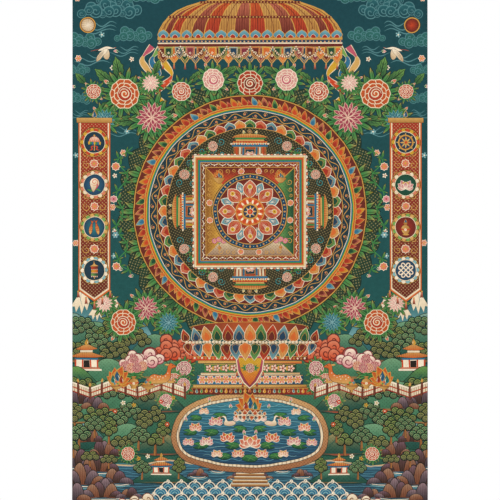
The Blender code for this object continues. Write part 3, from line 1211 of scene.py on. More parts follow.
def flower_wreath(drawing):
    """A crown of dark leaves behind the wheel, and sprays and flowers about it, to both sides alike."""
    leaves = glowing(pigment("3f5a34"), pigment("23392a"), WREATH_RADIUS, WHEEL_CENTRE, 3.0)
    crown = ring(1.0, 12 * WREATH_LOBES)
    crown = crown * (
        WREATH_RADIUS + 10 * np.abs(np.sin(np.pi * WREATH_LOBES * np.arange(len(crown)) / len(crown)))
    )
    drawing.rimmed(WHEEL_CENTRE + crown, touched(leaves, 6.5, -0.45, "dots"), INK_GREEN, 1.2)
    sprays = [leaf_spray(38, 7), leaf_spray(29, 5, tip=YELLOW)]
    drawing.around(sprays, 40, 184, WHEEL_CENTRE)
    for turns, lean in ((0.11, 0.05), (0.165, -0.07), (0.86, 0.05), (0.80, -0.07)):
        drawing.pair(broad_leaf(42), WHEEL_CENTRE + 195 * turned(turns), 1, turns + lean)
    for x, y, radius, turns in (
        (212, 704, 26, 0.11), (212, 704, 26, 0.21), (212, 704, 26, 0.90), (166, 664, 27, 0.98),
        (166, 722, 17, 0.30), (116, 708, 19, 0.37), (62, 728, 19, 0.42), (266, 708, 17, 0.13),
        (246, 660, 18, 0.93)
    ):
        drawing.pair(broad_leaf(1.6 * radius), x + 1j * y + 0.95 * radius * turned(turns), 1, turns)
    red = bouquet(peony, 26, 8, 0.03, 3)
    mauve = bouquet(aster, 27, 8, 0.05, 2)
    blue = bouquet(aster, 20, 7, 0.06, 1, DEEP_BLUE, TURQUOISE, PALE_BLUE)
    pale = bouquet(aster, 19, 7, 0.0, 2, PINK, BLUSH, SHELL)
    coral = bouquet(peony, 17, 6, 0.04, 2, RED, CORAL, SHELL)
    pink = bouquet(peony, 20, 7, 0.1, 2, ROSE, BLUSH, SHELL)
    drawing.pairs(
        [mauve, red, blue, pale, coral, pink, coral], (166, 664), (212, 704), (246, 660, 0.9),
        (168, 722, 0.8), (116, 708), (62, 728, 0.95), (264, 708, 0.75)
    )
    drawing.pairs(
        [mauve, red, blue, pale], (176, 342, 0.8), (214, 318, 0.86), (138, 318, 0.85), (246, 350, 0.8)
    )
    drawing.put(bouquet(peony, 22, 9, 0.25, 0, MAROON, VERMILION, CREAM), 722j)
    small = [
        blossom(6.5, CORAL, YELLOW, 8, SHELL), blossom(6, PALE_BLUE, SHELL, 6, DEEP_BLUE),
        blossom(6, PINK, RED, 8, SHELL)
    ]
    climbing = course(
        200, 404, 224, 420, 206, 446, 226, 476, 214, 505, 226, 534, 206, 564, 224, 590, 198, 614, steps=6
    )
    drawing.pair(vine(climbing, 15, small, 3), 0j)


SIGN_COLUMN = 263.0
SIGN_TOP = 622.0
SIGN_STEP = 72.0


def signs(drawing):
    """A brocade banner down each side that bears four of the eight signs of good fortune in medallions."""
    silk = touched(graded(RED, MAROON, 660j, 360j), 6.0, -0.7, "dots")
    banner = single(points(-27, 660, -27, 372, 0, 352, 27, 372, 27, 660), ORANGE, INK, 0.6)
    for half, low, tip, wash in ((24.5, 374, 356, CREAM), (22.5, 376, 359, silk)):
        banner.fill(points(-half, 660, -half, low, 0, tip, half, low, half, 660), wash)
    for k in range(1, 4):
        y = SIGN_TOP + 36 - SIGN_STEP * k
        for side in (1, -1):
            for radius, x, rise, start in ((7.5, 13, -2, 0.25), (5.0, 15, 14, 0.7), (5.0, 15, -17, 0.3)):
                left, right = (spiral(radius, turns, 12, start) for turns in (-1.3, 1.3))
                banner.line(side * (x + left.real) + 1j * (y + rise + right.imag), 1.2, GOLD)
        banner.put(blossom(7, CORAL, YELLOW, 8, SHELL), 1j * y)
    banner.rimmed(box(-30, 655, 30, 664), graded(STRAW, OCHRE, 664j, 655j), INK, 0.6)
    banner.put(jewel(13, BLUE, DEEP_BLUE), 663j)
    for x, y in ((-27, 372), (-14, 361), (0, 353), (14, 361), (27, 372)):
        banner.put(tassel(13), x + 1j * y)
    right = (
        (wheel_sign, DEEP_BLUE, NIGHT), (lotus_sign, SKY, LEAF_DARK), (vase_sign, RED, MAROON),
        (knot_sign, BLUE, DEEP_BLUE)
    )
    left = (
        (parasol_sign, DEEP_BLUE, NIGHT), (conch_sign, BLUE, DEEP_BLUE), (fish_sign, TURQUOISE, DEEP_BLUE),
        (banner_sign, DEEP_BLUE, NIGHT)
    )
    petals = ((VERMILION, YELLOW), (CORAL, CREAM), (LEAF_LIGHT, STRAW), (PALE_BLUE, SHELL))
    for x, column in ((SIGN_COLUMN, right), (-SIGN_COLUMN, left)):
        drawing.put(banner, x)
        for k, (sign, ground, deep) in enumerate(column):
            medallion = roundel(25, sign(), ground, deep, petals[k])
            drawing.put(medallion, x + 1j * (SIGN_TOP - SIGN_STEP * k))


def meadow(drawing):
    """The ground below: hills with a warm foot, woods, rocks and flowers down to the water."""
    drawing.fill(box(-305, -5, 305, 214), touched(graded(HILL_DARK, HILL, 20j, 214j), 5.6, 0.7, "dots"))
    knolls = (mound(64, 44, HILL_LIGHT, HILL), mound(58, 40, pigment("b39a66"), HILL_DARK, foot=VERMILION))
    blue_knoll = mound(50, 40, PALE_BLUE, HILL_DARK, foot=None)
    drawing.pairs(knolls, (246, 172, 1.1), (160, 168), (300, 150))
    groves = [grove(8.6, 4, 2, 1), grove(8.2, 5, 3, 0), grove(8.6, 3, 3, 2)]
    drawing.pairs([rock(44, 32), rock(36, 24, 4, 2)], (290, 180), (262, 172))
    drawing.pairs(groves, (284, 208), (230, 196), (180, 192), (256, 158), (204, 160, 0.9), (160, 156, 0.9))
    drawing.pairs(
        [tree(8.4, "tall", 2), tree(8.8, "round", 0)], (296, 152), (226, 146), (178, 140)
    )
    drawing.pairs([blue_knoll, *knolls], (280, 108), (206, 104), (150, 96, 0.9))
    drawing.pairs([rock(42, 30, 5, 1)], (246, 92), (270, 116, 0.8))
    trees = [
        tree(8.6, habit, k % 3)
        for k, habit in enumerate(("round", "tall", "low", "round", "pair"))
    ]
    drawing.pairs(
        trees, (288, 122), (238, 128, 0.95), (216, 112), (188, 118), (160, 112, 1.1),
        (262, 138, 0.9), (146, 128, 0.8)
    )
    bushes = [
        bouquet(peony, 12, 6, 0.1, 0, RED, CORAL, SHELL),
        bouquet(peony, 11, 6, 0.0, 0, WINE, PINK, SHELL)
    ]
    drawing.pairs(bushes, (206, 96), (142, 186))
    small = [blossom(4.4, SHELL, YELLOW, 5), blossom(4.4, VERMILION, SHELL, 6), blossom(4.0, YELLOW, RED, 5)]
    drawing.pairs(
        small, (138, 176), (150, 184), (196, 178), (214, 182), (140, 146),
        (188, 88), (172, 92), (228, 168), (130, 190), (118, 74), (134, 78)
    )


def shore(drawing):
    """The lowest strip: deep water with ripples and breaking waves, lobed rocks, low hills and clouds."""
    waterline = wavy(-306 + 80j, 306 + 80j, 4.5, 4.5, 37)
    water = touched(graded(NIGHT, pigment("2c5468"), 0, 80j), 4.2, -0.5, "across")
    drawing.fill(np.append(waterline, points(305, -5, -305, -5)), water).line(waterline, 2.6, BONE, 1.0)
    drawing.line(waterline - 2.2j, 1.0, BLUE, 1.0)
    drawing.put(ripples(-302, 302, 2, 80, 13, pigment("4f869a"), 2.6, 9))
    drawing.pair(mound(56, 26, HILL_LIGHT, HILL_DARK), 150 + 48j)
    drawing.pairs([tree(6.8, "round", 0), tree(6.4, "tall", 1)], (182, 66), (120, 66))
    drawing.pair(shrine(36), 150 + 60j)
    boulders = (
        (296, 74, 52, 34, 5), (256, 66, 60, 32, 6), (282, 44, 66, 36, 6), (226, 46, 44, 26, 4),
        (250, 22, 62, 32, 6), (298, 18, 44, 30, 4), (204, 22, 34, 18, 4), (88, 58, 26, 14, 4),
        (54, 68, 22, 12, 3), (24, 54, 20, 11, 3)
    )
    for k, (x, y, wide, tall, lobes) in enumerate(boulders):
        drawing.pair(eddies(wide).put(rock(wide, tall, lobes, k)), x + 1j * y)
    drawing.pairs(
        [tree(7.2, "low", 2), tree(7.2, "pair", 1)], (270, 88), (298, 104), (238, 84, 0.9)
    )
    for y, count, deep in ((38, 13, DEEP_BLUE), (28, 14, BLUE), (17, 15, DEEP_BLUE), (6, 16, NIGHT)):
        drawing.row([billow(12, deep)], count, 1j * y, 11.6 * (count - 1))
    drawing.pairs(
        [bank(60, 2, 9.0, BROWN, BONE, SHELL), bank(44, 2, 8.0, WINE, PINK, SHELL)], (184, 8), (222, 2)
    )
    drawing.put(steps(64, 24, 4), 40j)


def pond(drawing):
    """A lotus pond in the meadow: stone kerb, ripples, floating leaves, flowers, buds and white birds."""
    shape = smooth(
        -112, 96, -60, 78, 0, 72, 60, 78, 112, 96, 124, 132, 104, 168, 56, 186, 0, 192, -56, 186, -104, 168,
        -124, 132, steps=5
    )
    paving = touched(graded(pigment("9c6a48"), pigment("c49a68"), 80j, 190j), 5.5, 0.8, "dots")
    for depth, wash in (
        (-9, INK), (-8.2, paving), (0, INK), (0.8, touched(even(CREAM), 7.0, 0.7, "across")),
        (4.6, INK_GREEN),
        (5.4, touched(graded(DEEP_BLUE, pigment("356f80"), 80j, 190j), 4.2, -0.45, "across"))
    ):
        drawing.fill(inset(shape, depth), wash)
    for k, y in enumerate(range(86, 186, 7)):
        half = 104 * np.sqrt(max(0.05, 1 - ((y - 132) / 56) ** 2)) + 4
        drawing.line(
            wavy(-half + 1j * y, half + 1j * y, 1.5, 5 + k % 3, 34), 0.8,
            (pigment("5b9bb0"), PALE_BLUE)[k % 2], 0.5
        )
    outline = oval(14, 6.6, 16)
    outline[0] = 4.0
    pad = single(outline, graded(LEAF, LEAF_DARK, 6j, -6j), INK_GREEN, 0.8)
    for turns in (0.12, 0.3, 0.45, 0.6, 0.8):
        tip = 14 * turned(turns)
        pad.line(np.array([0, 0.76 * tip.real + 0.36j * tip.imag]), 0.8, LEAF_LIGHT, 0.5)
    drawing.pairs(
        [pad], (0, 88), (44, 92, 0.9), (84, 110), (102, 132, 0.9), (30, 110), (66, 132),
        (92, 156, 0.8), (52, 160, 0.9), (18, 138, 0.9)
    )
    kinds = (
        (ROSE, BLUSH), (VERMILION, BLUSH), (CORAL, SHELL), (VERMILION, CORAL), (ROSE, SHELL), (PINK, SHELL)
    )
    drawing.pairs(
        [lotus(14, deep, pale) for deep, pale in kinds], (58, 146), (92, 136, 0.93), (78, 164, 0.72),
        (38, 118, 1.07), (74, 112), (18, 152, 0.86), (104, 112, 0.8), (20, 92, 0.93), (56, 92, 0.8)
    )
    drawing.put(lotus(22, VERMILION, BLUSH), 108j)
    drawing.pairs(
        [Drawing().put(bud(9, ROSE, SHELL), 0, 1, 0.24)], (32, 172), (68, 182), (108, 150), (10, 128)
    )
    drawing.pair(swan(), 36 + 144j, 1.1)


def pedestal(drawing):
    """What bears the wheel: a double row of lotus petals on a stepped plinth with a hanging cloth."""
    drawing.pairs(
        [bank(96, 3, 10.5, MAROON, VERMILION, CORAL), bank(74, 2, 9.5, WINE, PINK, SHELL)], (128, 262),
        (184, 252)
    )
    for half, low, tall, light, deep in (
        (106, 196, 12, MAROON, RED), (96, 208, 5, STRAW, OCHRE), (90, 213, 16, BLUE, DEEP_BLUE),
        (84, 229, 4, CREAM, BONE), (78, 233, 15, LEAF, LEAF_DARK), (88, 248, 5, STRAW, ORANGE),
        (98, 253, 8, VERMILION, MAROON)
    ):
        shade = touched(graded(light, deep, 0, half, 1.6), 4.0, 0.5, "dots")
        drawing.rimmed(box(-half, low, half, low + tall), shade, INK, 0.5)
        drawing.line(np.array([1.5 - half, half - 1.5]) + 1j * (low + tall - 1.2), 0.9, GOLD, 1.0)
    stud = single(oval(1.6, 4.6, 8), GOLD)
    for end, y, count, flower in (
        (81, 221, 13, blossom(7, CORAL, YELLOW, 6, SHELL)),
        (69, 240.5, 11, blossom(6.6, BLUSH, RED, 5, MAROON))
    ):
        drawing.row([flower], count, 1j * y, end)
        drawing.row([stud], count - 1, 1j * y, end - end / (count - 1))
    gems = [jewel(9, *PAIRS[name]) for name in ("red", "blue", "green", "gold")]
    drawing.row(gems, 25, 198j, 98).row([pearl(1.9), pearl(1.9, GOLD, OCHRE)], 31, 257j, 93)
    cloth = points(-25, 262, -22, 234, -12, 216, 0, 205, 12, 216, 22, 234, 25, 262)
    for depth, wash in (
        (0, INK), (0.5, CREAM), (2.4, graded(ROSE, WINE, 258j, 208j)), (6, MAROON),
        (6.6, touched(graded(YELLOW, ORANGE, 250j, 216j), 4.5, 0.5, "dots"))
    ):
        drawing.fill(inset(cloth, depth), wash)
    drawing.put(leaf_spray(10), 7 + 241j).put(leaf_spray(10), -7 + 241j, 1, 0.5).put(
        peony(8, MAROON, VERMILION, SHELL), 241j
    )
    for x, y in ((-22, 235), (-12, 217), (0, 206), (12, 217), (22, 235)):
        drawing.put(tassel(9, VERMILION), x + 1j * y)
    drawing.put(lotus_seat(218, 50, 13, ("red", "blue", "straw", "green")), 284j)


def gifts(drawing):
    """Before the wheel, to both sides: a fence, deer, vases of flowers, bowls and blazing jewels."""
    bunch = Drawing()
    for lean in (-0.16, 0.16, -0.08, 0.08, 0.0):
        bunch.put(leaf_spray(23), 19j, 1, 0.25 + lean)
    flowers = (peony(8.5, WINE, ROSE, BLUSH), peony(8.5, RED, CORAL, CREAM))
    for k, (lean, far) in enumerate(((-0.12, 21), (0.12, 21), (0.0, 27), (-0.06, 13), (0.06, 13))):
        bunch.put(flowers[k % 2], 19j + far * turned(0.25 + lean))
    bunch.put(Drawing(vase_sign().shapes[4:]), 9j, 17)
    bowl = Drawing()
    for k, at in enumerate(points(-6, 6, 6, 6, -2.4, 10, 2.8, 10, 0, 14, 0, 7)):
        light, deep = list(PAIRS.values())[k]
        bowl.rimmed(ring(3.2, 9) + at, graded(light, deep, at - 2 + 1j, at + 4), GOLD, 0.4)
    dish = smooth(-3, -6, 3, -6, 2, -2.4, 10, 2.4, 11, 6, -11, 6, -10, 2.4, -2, -2.4)
    bowl.rimmed(
        dish, graded(STRAW, OCHRE, -8, 10), UMBER, 0.5
    ).line(points(-10, 4.4, 10, 4.4), 0.9, MAROON, 0.8)
    clusters = (
        bouquet(peony, 13, 6, 0.1, 1, WINE, PINK, SHELL),
        bouquet(peony, 11, 6, 0.0, 1, RED, CORAL, SHELL)
    )
    drawing.pairs(clusters, (112, 240), (128, 222), (112, 212, 0.9))
    for k, at in enumerate(points(110, 190, 150, 204, 190, 190, 230, 204, 270, 190)):
        drawing.pair(balustrade(40, 18, 3, 0.35 * (-1) ** k), at)
    drawing.pair(
        Drawing().put(deer(), mirrored=True), 150 + 216j, 0.95
    ).pair(bunch, 196 + 210j).pair(bowl, 172 + 206j)
    drawing.pair(blazing_jewels(24), 224 + 214j).pair(bowl, 226 + 206j, 0.8)
    drawing.put(blazing_jewels(26), 168j).put(lotus_seat(48, 15, 7, ("coral", "blue")), 161j)


def picture():
    """The whole painting in painting order, from the sky to the gifts in front of the wheel."""
    drawing = Drawing()
    for layer in (
        sky, drifting, canopy, far_hills, flower_wreath, signs, meadow, shore, pond, great_wheel, pedestal,
        gifts
    ):
        layer(drawing)
    return drawing


# ---------------- from the drawing to the cloth


def covered_by(places, outlines):
    """For each point, the number of the last outline that holds it, found from the top one down by parity."""
    order = np.argsort(places.real)
    x, y = places.real[order], places.imag[order]
    found = np.full(len(places), -1)
    for number in range(len(outlines) - 1, -1, -1):
        outline = outlines[number]
        low, high = np.searchsorted(x, [outline.real.min(), outline.real.max()])
        free = (found[low:high] < 0) & (y[low:high] > outline.imag.min()) & (y[low:high] < outline.imag.max())
        near = low + np.flatnonzero(free)
        if not len(near):
            continue
        after = np.roll(outline, -1)
        rise = np.where(after.imag == outline.imag, 1.0, after.imag - outline.imag)
        for part in np.array_split(near, 1 + len(near) * len(outline) // POINTS_AT_ONCE):
            px, py = x[part, None], y[part, None]
            across = (outline.imag > py) != (after.imag > py)
            cut = outline.real + (py - outline.imag) * (after.real - outline.real) / rise
            inside = np.count_nonzero(across & (px < cut), axis=1) % 2 == 1
            found[part[inside]] = number
    unsorted = np.empty_like(found)
    unsorted[order] = found
    return unsorted


def wavered(places):
    """Points as an unaided hand would set them: each strays by sums of slow sines of its own place."""
    x, y = places.real, places.imag
    across = np.sin(0.071 * x + 0.113 * y + 0.4) + 0.5 * np.sin(0.19 * x - 0.23 * y + 1.1)
    up = np.sin(0.097 * x - 0.067 * y + 2.0) + 0.5 * np.sin(0.27 * x + 0.17 * y + 0.3)
    return places + HAND_WAVER * (across + 1j * up)


def off_the_line(here, before, after):
    """How far a point lies from the line between two others."""
    chord = after - before
    return np.abs(((here - before) * np.conj(chord)).imag) / np.maximum(np.abs(chord), 1e-6)


def dealt(counts):
    """For edges that each take a number of steps: the edge of every step, and its place in that edge."""
    edge = np.repeat(np.arange(len(counts)), counts)
    return edge, np.arange(len(edge)) - np.repeat(np.cumsum(counts) - counts, counts)


def sides(triangles):
    """The three sides of each triangle, as two point numbers with the lower one first."""
    return np.sort(triangles[:, [0, 1, 1, 2, 2, 0]].reshape(-1, 2), axis=1)


def grid(across, up):
    """Every point of a grid, from its columns and rows."""
    return (across[:, None] + 1j * up[None, :]).ravel()


def delaunay(places, edges, inside_only, merge):
    """Triangles that keep these edges: the points, the triangles, and which given points each point was."""
    flat = np.stack([places.real, places.imag], 1).tolist()
    made = delaunay_2d_cdt(flat, edges.tolist(), [], inside_only, merge)
    return np.array([complex(*place) for place in made[0]]), np.array(made[2]), made[3]


def eased(outline):
    """Leaves out corners that lie almost on the line between their neighbours, never two in a row."""
    for _ in range(ROUNDS["corners"]):
        off = off_the_line(outline, np.roll(outline, 1), np.roll(outline, -1))
        drop = (off < EASE) & (off <= np.minimum(np.roll(off, 1), np.roll(off, -1)) + 1e-9)
        drop &= ~np.roll(drop, 1)
        if not drop.any() or len(outline) - drop.sum() < 4:
            break
        outline = outline[~drop]
    return outline


def worth_painting(drawing):
    """The shapes that can be seen: large and broad enough, and no rim finer than a brush can draw."""
    kept = []
    for (outline, wash), (inner, _) in zip(drawing.shapes, drawing.shapes[1:] + [(np.zeros(0), None)]):
        longer = max(np.ptp(outline.real), np.ptp(outline.imag))
        area = 0.5 * abs(np.sum((np.conj(outline) * np.roll(outline, -1)).imag))
        hidden = len(inner) == len(outline) and np.abs(inner - outline).max() < THINNEST_RIM
        if area > max(LEAST_AREA, LEAST_BREADTH * longer) and not hidden:
            kept.append((eased(wavered(outline)), wash))
    return kept


def shown_edges(outlines):
    """The edges of which some part shows: those whose points, every so often, aren't all painted over."""
    first = np.concatenate([[0], np.cumsum([len(outline) for outline in outlines])])
    corners = np.concatenate(outlines)
    here = np.arange(len(corners))
    after = here + 1
    after[first[1:] - 1] = first[:-1]
    owner = np.repeat(np.arange(len(outlines)), np.diff(first))
    count = np.ceil(np.abs(corners[after] - corners[here]) / SHOWN_STEP).astype(int) + 2
    edge, step = dealt(count)
    share = 0.01 + 0.98 * step / (count[edge] - 1)
    places = corners[edge] * (1 - share) + corners[after[edge]] * share
    inside = (np.abs(places.real) <= HALF_WIDTH) & (places.imag >= 0) & (places.imag <= HEIGHT)
    shows = np.zeros(len(here), bool)
    np.logical_or.at(shows, edge, (covered_by(places, outlines) <= owner[edge]) & inside)
    return corners, np.stack([here, after], 1)[shows]


def triangulated(places, edges):
    """The rectangle cut into triangles along these edges: the points, the triangles and their middles."""
    across = np.linspace(-HALF_WIDTH, HALF_WIDTH, int(2 * HALF_WIDTH / FORM_GRID) + 1)
    up = np.linspace(0, HEIGHT, int(HEIGHT / FORM_GRID) + 1)
    edges = np.concatenate([edges, len(places) + np.array([[0, 1], [1, 2], [2, 3], [3, 0]])])
    places = np.concatenate([places, box(-HALF_WIDTH, 0, HALF_WIDTH, HEIGHT), grid(across, up)])
    places, triangles, _ = delaunay(places, edges, 0, MERGE)
    middle = places[triangles].mean(1)
    inside = (np.abs(middle.real) < HALF_WIDTH) & (middle.imag > 0) & (middle.imag < HEIGHT)
    used, triangles = np.unique(triangles[inside], return_inverse=True)
    return places[used], facing(places[used], triangles.reshape(-1, 3), 1), middle[inside]


def facing(places, triangles, sense):
    """Triangles with their corners in the order of this sense: 1 for leftwards round, -1 for rightwards."""
    a, b, c = places[triangles].T
    wrong = sense * (np.conj(b - a) * (c - a)).imag < 0
    triangles[wrong] = triangles[wrong][:, ::-1]
    return triangles


def colour_edges(triangles, washes):
    """The edges between triangles of unlike washes."""
    ends = sides(triangles)
    key = ends[:, 0] * (triangles.max() + 1) + ends[:, 1]
    order = np.argsort(key, kind="stable")
    key, ends, side = key[order], ends[order], np.repeat(washes, 3)[order]
    return ends[1:][(key[1:] == key[:-1]) & (side[1:] != side[:-1])]


def straightened(places, edges):
    """Joins two edges into one where they meet alone in a point that is almost on the joined edge."""
    for _ in range(ROUNDS["edges"]):
        degree = np.bincount(edges.ravel(), minlength=len(places))
        both = np.concatenate([edges, edges[:, ::-1]])
        both = both[np.argsort(both[:, 0], kind="stable")]
        pairs = both[degree[both[:, 0]] == 2].reshape(-1, 2, 2)
        here, one, other = pairs[:, 0, 0], pairs[:, 0, 1], pairs[:, 1, 1]
        off = np.full(len(places), np.inf)
        off[here] = np.where(one == other, np.inf, off_the_line(places[here], places[one], places[other]))
        rank = off + 1e-7 * (np.arange(len(places)) % 97)
        drop = (off[here] < EASE) & (rank[here] < rank[one]) & (rank[here] < rank[other])
        if not drop.any():
            break
        gone = np.isin(edges, here[drop]).any(1)
        edges = np.concatenate([edges[~gone], np.stack([one[drop], other[drop]], 1)])
    return edges


def divided(places, edges):
    """Cuts long edges into equal parts, so that a long thin strip follows the cloth's soft waves."""
    start = places[edges[:, 0]]
    way = places[edges[:, 1]] - start
    parts = np.ceil(np.abs(way) / LONGEST_EDGE).astype(int)
    edge, step = dealt(parts)
    inner = step > 0
    number = len(places) - 1 + np.cumsum(inner)
    here = np.where(inner, number, edges[edge, 0])
    after = np.where(step == parts[edge] - 1, edges[edge, 1], number + 1)
    added = start[edge] + way[edge] * step / parts[edge]
    return np.concatenate([places, added[inner]]), np.stack([here, after], 1)


def partition(drawing):
    """Triangulates the picture along all edges that show, then along those that part unlike washes alone.

    Gives the points, the triangles and each triangle's wash.
    """
    outlines, washes = zip(*worth_painting(drawing))
    places, triangles, middle = triangulated(*shown_edges(outlines))
    first_of = {}
    alike = [
        first_of.setdefault(id(wash.first), number)
        if wash.first is wash.last and wash.touch is PLAIN else number
        for number, wash in enumerate(washes)
    ]
    shapes = covered_by(middle, outlines)
    edges = straightened(places, colour_edges(triangles, np.array(alike)[shapes]))
    kept, edges = np.unique(edges, return_inverse=True)
    glows = [number for number, wash in enumerate(washes) if wash.around]
    hearts = np.array([washes[number].start for number in glows])
    hearts = np.unique(hearts[covered_by(hearts, outlines) == glows])
    places, edges = divided(places[kept], edges.reshape(-1, 2))
    places, triangles, middle = triangulated(np.concatenate([places, hearts]), edges)
    return places, triangles, [washes[number] for number in covered_by(middle, outlines)]


def linear_light(colour):
    """Screen values as amounts of light, by the screen's own curve; the last channel stays as it is."""
    light = np.where(colour <= 0.04045, colour / 12.92, ((colour + 0.055) / 1.055) ** 2.4)
    light[..., 3] = colour[..., 3]
    return light


def washed(places, triangles, washes):
    """The colour at each triangle's corners: how far each is along its wash, to a power, mixes two colours.

    Gives the fine brushwork too: how many lines off the corner lies, along and across them, their strength,
    and whether they are dots. Round a glow the lines are spokes, counted from the triangle's middle.
    """

    def column(things, field):
        return np.array([getattr(thing, field) for thing in things])[:, None]

    first, last, start, end, around, bias = (column(washes, field) for field in Wash._fields[:-1])
    pitch, strength, kind = (column([wash.touch for wash in washes], field) for field in Touch._fields)
    offset = places[triangles] - start
    length = np.abs(end - start)
    level = offset * np.conj(end - start) / length
    reach = np.where(around, np.abs(offset), level.real)
    share = np.clip(reach / length, 0, 1) ** bias
    colours = linear_light(first + (last - first) * share[..., None])

    middle = offset.mean(1, keepdims=True)
    spokes = np.round(2 * np.pi * length / pitch)
    bearing = (np.angle(middle) + np.angle(np.where(offset == 0, 1, offset * np.conj(middle)))) / (2 * np.pi)
    beside = np.where(around, bearing * spokes, level.imag / pitch)
    along = reach / pitch
    beside, along = np.where(kind == "across", (along, beside), (beside, along))
    return colours, np.stack(np.broadcast_arrays(beside, along, strength, kind == "dots"), -1)


def hung(places, behind):
    """Flat millimetres to the hanging cloth in metres, some way behind its middle surface.

    The cloth stands behind the plane of its top edge by soft waves, less the foot's curl and the sides' cup,
    all of which grow downwards from nothing.
    """
    x = places.real / 1000
    drop = CLOTH_LENGTH - places.imag / 1000
    down = drop / CLOTH_LENGTH
    across = x / CLOTH_WIDTH
    back = behind - FOOT_CURL * down**CURL_POWER - SIDE_CUP * (2 * across) ** 2 * down
    for wave in SOFT_WAVES:
        turns = wave["across"] * across + wave["down"] * down + wave["start"]
        back = back + wave["height"] * np.sin(2 * np.pi * turns) * down
    return np.stack([x, back, -drop], 1)


def rim_order(places, triangles):
    """The numbers of the points on the cloth's edge, once round it from the lower left corner.

    They are the ends of sides that have one triangle alone, and are moved exactly onto the rectangle's sides.
    """
    edges, count = np.unique(sides(triangles), axis=0, return_counts=True)
    rim = np.unique(edges[count == 1])
    x, y = places[rim].real, places[rim].imag
    off = np.stack([y, x - HALF_WIDTH, y - HEIGHT, x + HALF_WIDTH])
    side = np.abs(off).argmin(0)
    here = np.arange(len(rim))
    places[rim] -= off[side, here] * np.array([1j, 1, 1j, 1])[side]
    return rim[np.lexsort([np.stack([x, y, -x, -y])[side, here], side])]


def spread(across, up, foot, head):
    """Places in the piece's own map, from shares of its width and of the height between foot and head."""
    return np.stack(
        np.broadcast_arrays(MAP_EDGE + (1 - 2 * MAP_EDGE) * across, foot + (head - foot) * up), -1
    )


def edge_maps(outline):
    """The map of the cut edges, a pair of triangles for each step round them, unrolled into a strip."""
    walk = np.concatenate([[0], np.cumsum(np.abs(np.diff(np.append(outline, outline[0]))))])
    after, here = walk[1:] / walk[-1], walk[:-1] / walk[-1]
    upper = spread(np.stack([after, here, here], 1), np.array([1, 1, 0]), *EDGE_BAND)
    return upper, spread(np.stack([after, here, after], 1), np.array([1, 0, 0]), *EDGE_BAND)


def cloth_mesh(drawing):
    """Joins the painted face, the back and the four cut edges in one closed mesh with colours and a map."""
    places, triangles, washes = partition(drawing)
    rim = rim_order(places, triangles)
    here = np.arange(len(rim))
    after = np.roll(here, -1)
    columns, rows = BACK_POINTS
    inner = grid(np.linspace(-HALF_WIDTH, HALF_WIDTH, columns)[1:-1], np.linspace(0, HEIGHT, rows)[1:-1])
    back = np.concatenate([places[rim], inner])
    _, back_faces, given = delaunay(back, np.stack([here, after], 1), 1, 1e-6)
    back_faces = facing(back, np.array([first for first, *_ in given])[back_faces], -1)

    count = len(places)
    upper = np.stack([rim[after], rim[here], count + here], 1)
    lower = np.stack([rim[after], count + here, count + after], 1)
    faces = np.concatenate([triangles, back_faces + count, upper, lower])
    corners = np.concatenate([hung(places, -0.5 * CLOTH_THICKNESS), hung(back, 0.5 * CLOTH_THICKNESS)])
    face_map = spread(0.5 + 0.5 * places.real / HALF_WIDTH, places.imag / HEIGHT, *FACE_BAND)
    back_map = spread(back.imag / HEIGHT, 0.5 + 0.5 * back.real / HALF_WIDTH, *BACK_BAND)
    cloth_map = np.concatenate([face_map[triangles], back_map[back_faces], *edge_maps(places[rim])])

    mesh = bpy.data.meshes.new("painted_cloth")
    mesh.from_pydata(corners.tolist(), [], faces.tolist())
    number = np.arange(len(faces))
    mesh.polygons.foreach_set("material_index", (number >= len(triangles)).astype(np.int32))
    mesh.polygons.foreach_set("use_smooth", number < len(triangles) + len(back_faces))
    bare = np.tile(linear_light(BARE_COTTON), (len(faces) - len(triangles), 3, 1))
    for name, values in zip(("paint", "brushwork"), washed(places, triangles, washes)):
        layer = mesh.color_attributes.new(name, "FLOAT_COLOR", "CORNER")
        layer.data.foreach_set("color", np.concatenate([values, bare]).ravel().astype(np.float32))
    mesh.uv_layers.new(name="OFBake").data.foreach_set("uv", cloth_map.ravel().astype(np.float32))
    return mesh


# ---------------- materials


class Wire:
    """An output of a shader node, so that sums and products of outputs and numbers are plain expressions."""

    def __init__(self, tree, output=None):
        self.tree = tree
        self.output = output

    def node(self, kind, settings=None, sockets=None, output=0):
        """Adds a node: its type, its settings, then the values or links of its sockets. Gives one output."""
        made = self.tree.nodes.new(kind)
        for name, value in (settings or {}).items():
            setattr(made, name, value)
        for name, value in (sockets or {}).items():
            if isinstance(value, Wire):
                self.tree.links.new(value.output, made.inputs[name])
            else:
                made.inputs[name].default_value = value
        return Wire(self.tree, made.outputs[output])

    def beside(self, name):
        """Another output of the same node."""
        return Wire(self.tree, self.output.node.outputs[name])

    def math(self, operation, *terms):
        """Adds a Math node on these terms, or on the wire alone."""
        return self.node("ShaderNodeMath", {"operation": operation}, dict(enumerate(terms or (self,))))

    def clamped(self):
        """The value kept between 0 and 1."""
        return self.node("ShaderNodeClamp", {}, {"Value": self})

    def __add__(self, other):
        return self.math("ADD", self, other)

    def __sub__(self, other):
        return self.math("SUBTRACT", self, other)

    def __rsub__(self, other):
        return self.math("SUBTRACT", other, self)

    def __mul__(self, other):
        return self.math("MULTIPLY", self, other)

    __radd__ = __add__
    __rmul__ = __mul__


def new_material(name, settings, links):
    """A material whose shader has these constants; links gives the wires to its sockets."""
    material = bpy.data.materials.new(name)
    material.use_nodes = True
    tree = material.node_tree
    shader = tree.nodes["Principled BSDF"]
    for socket, value in settings.items():
        shader.inputs[socket].default_value = value
    for socket, wire in links(Wire(tree)).items():
        tree.links.new(wire.output, shader.inputs[socket])
    return material


def object_place(start):
    """The point's own place on the cloth, in metres."""
    return start.node("ShaderNodeTexCoord").beside("Object")


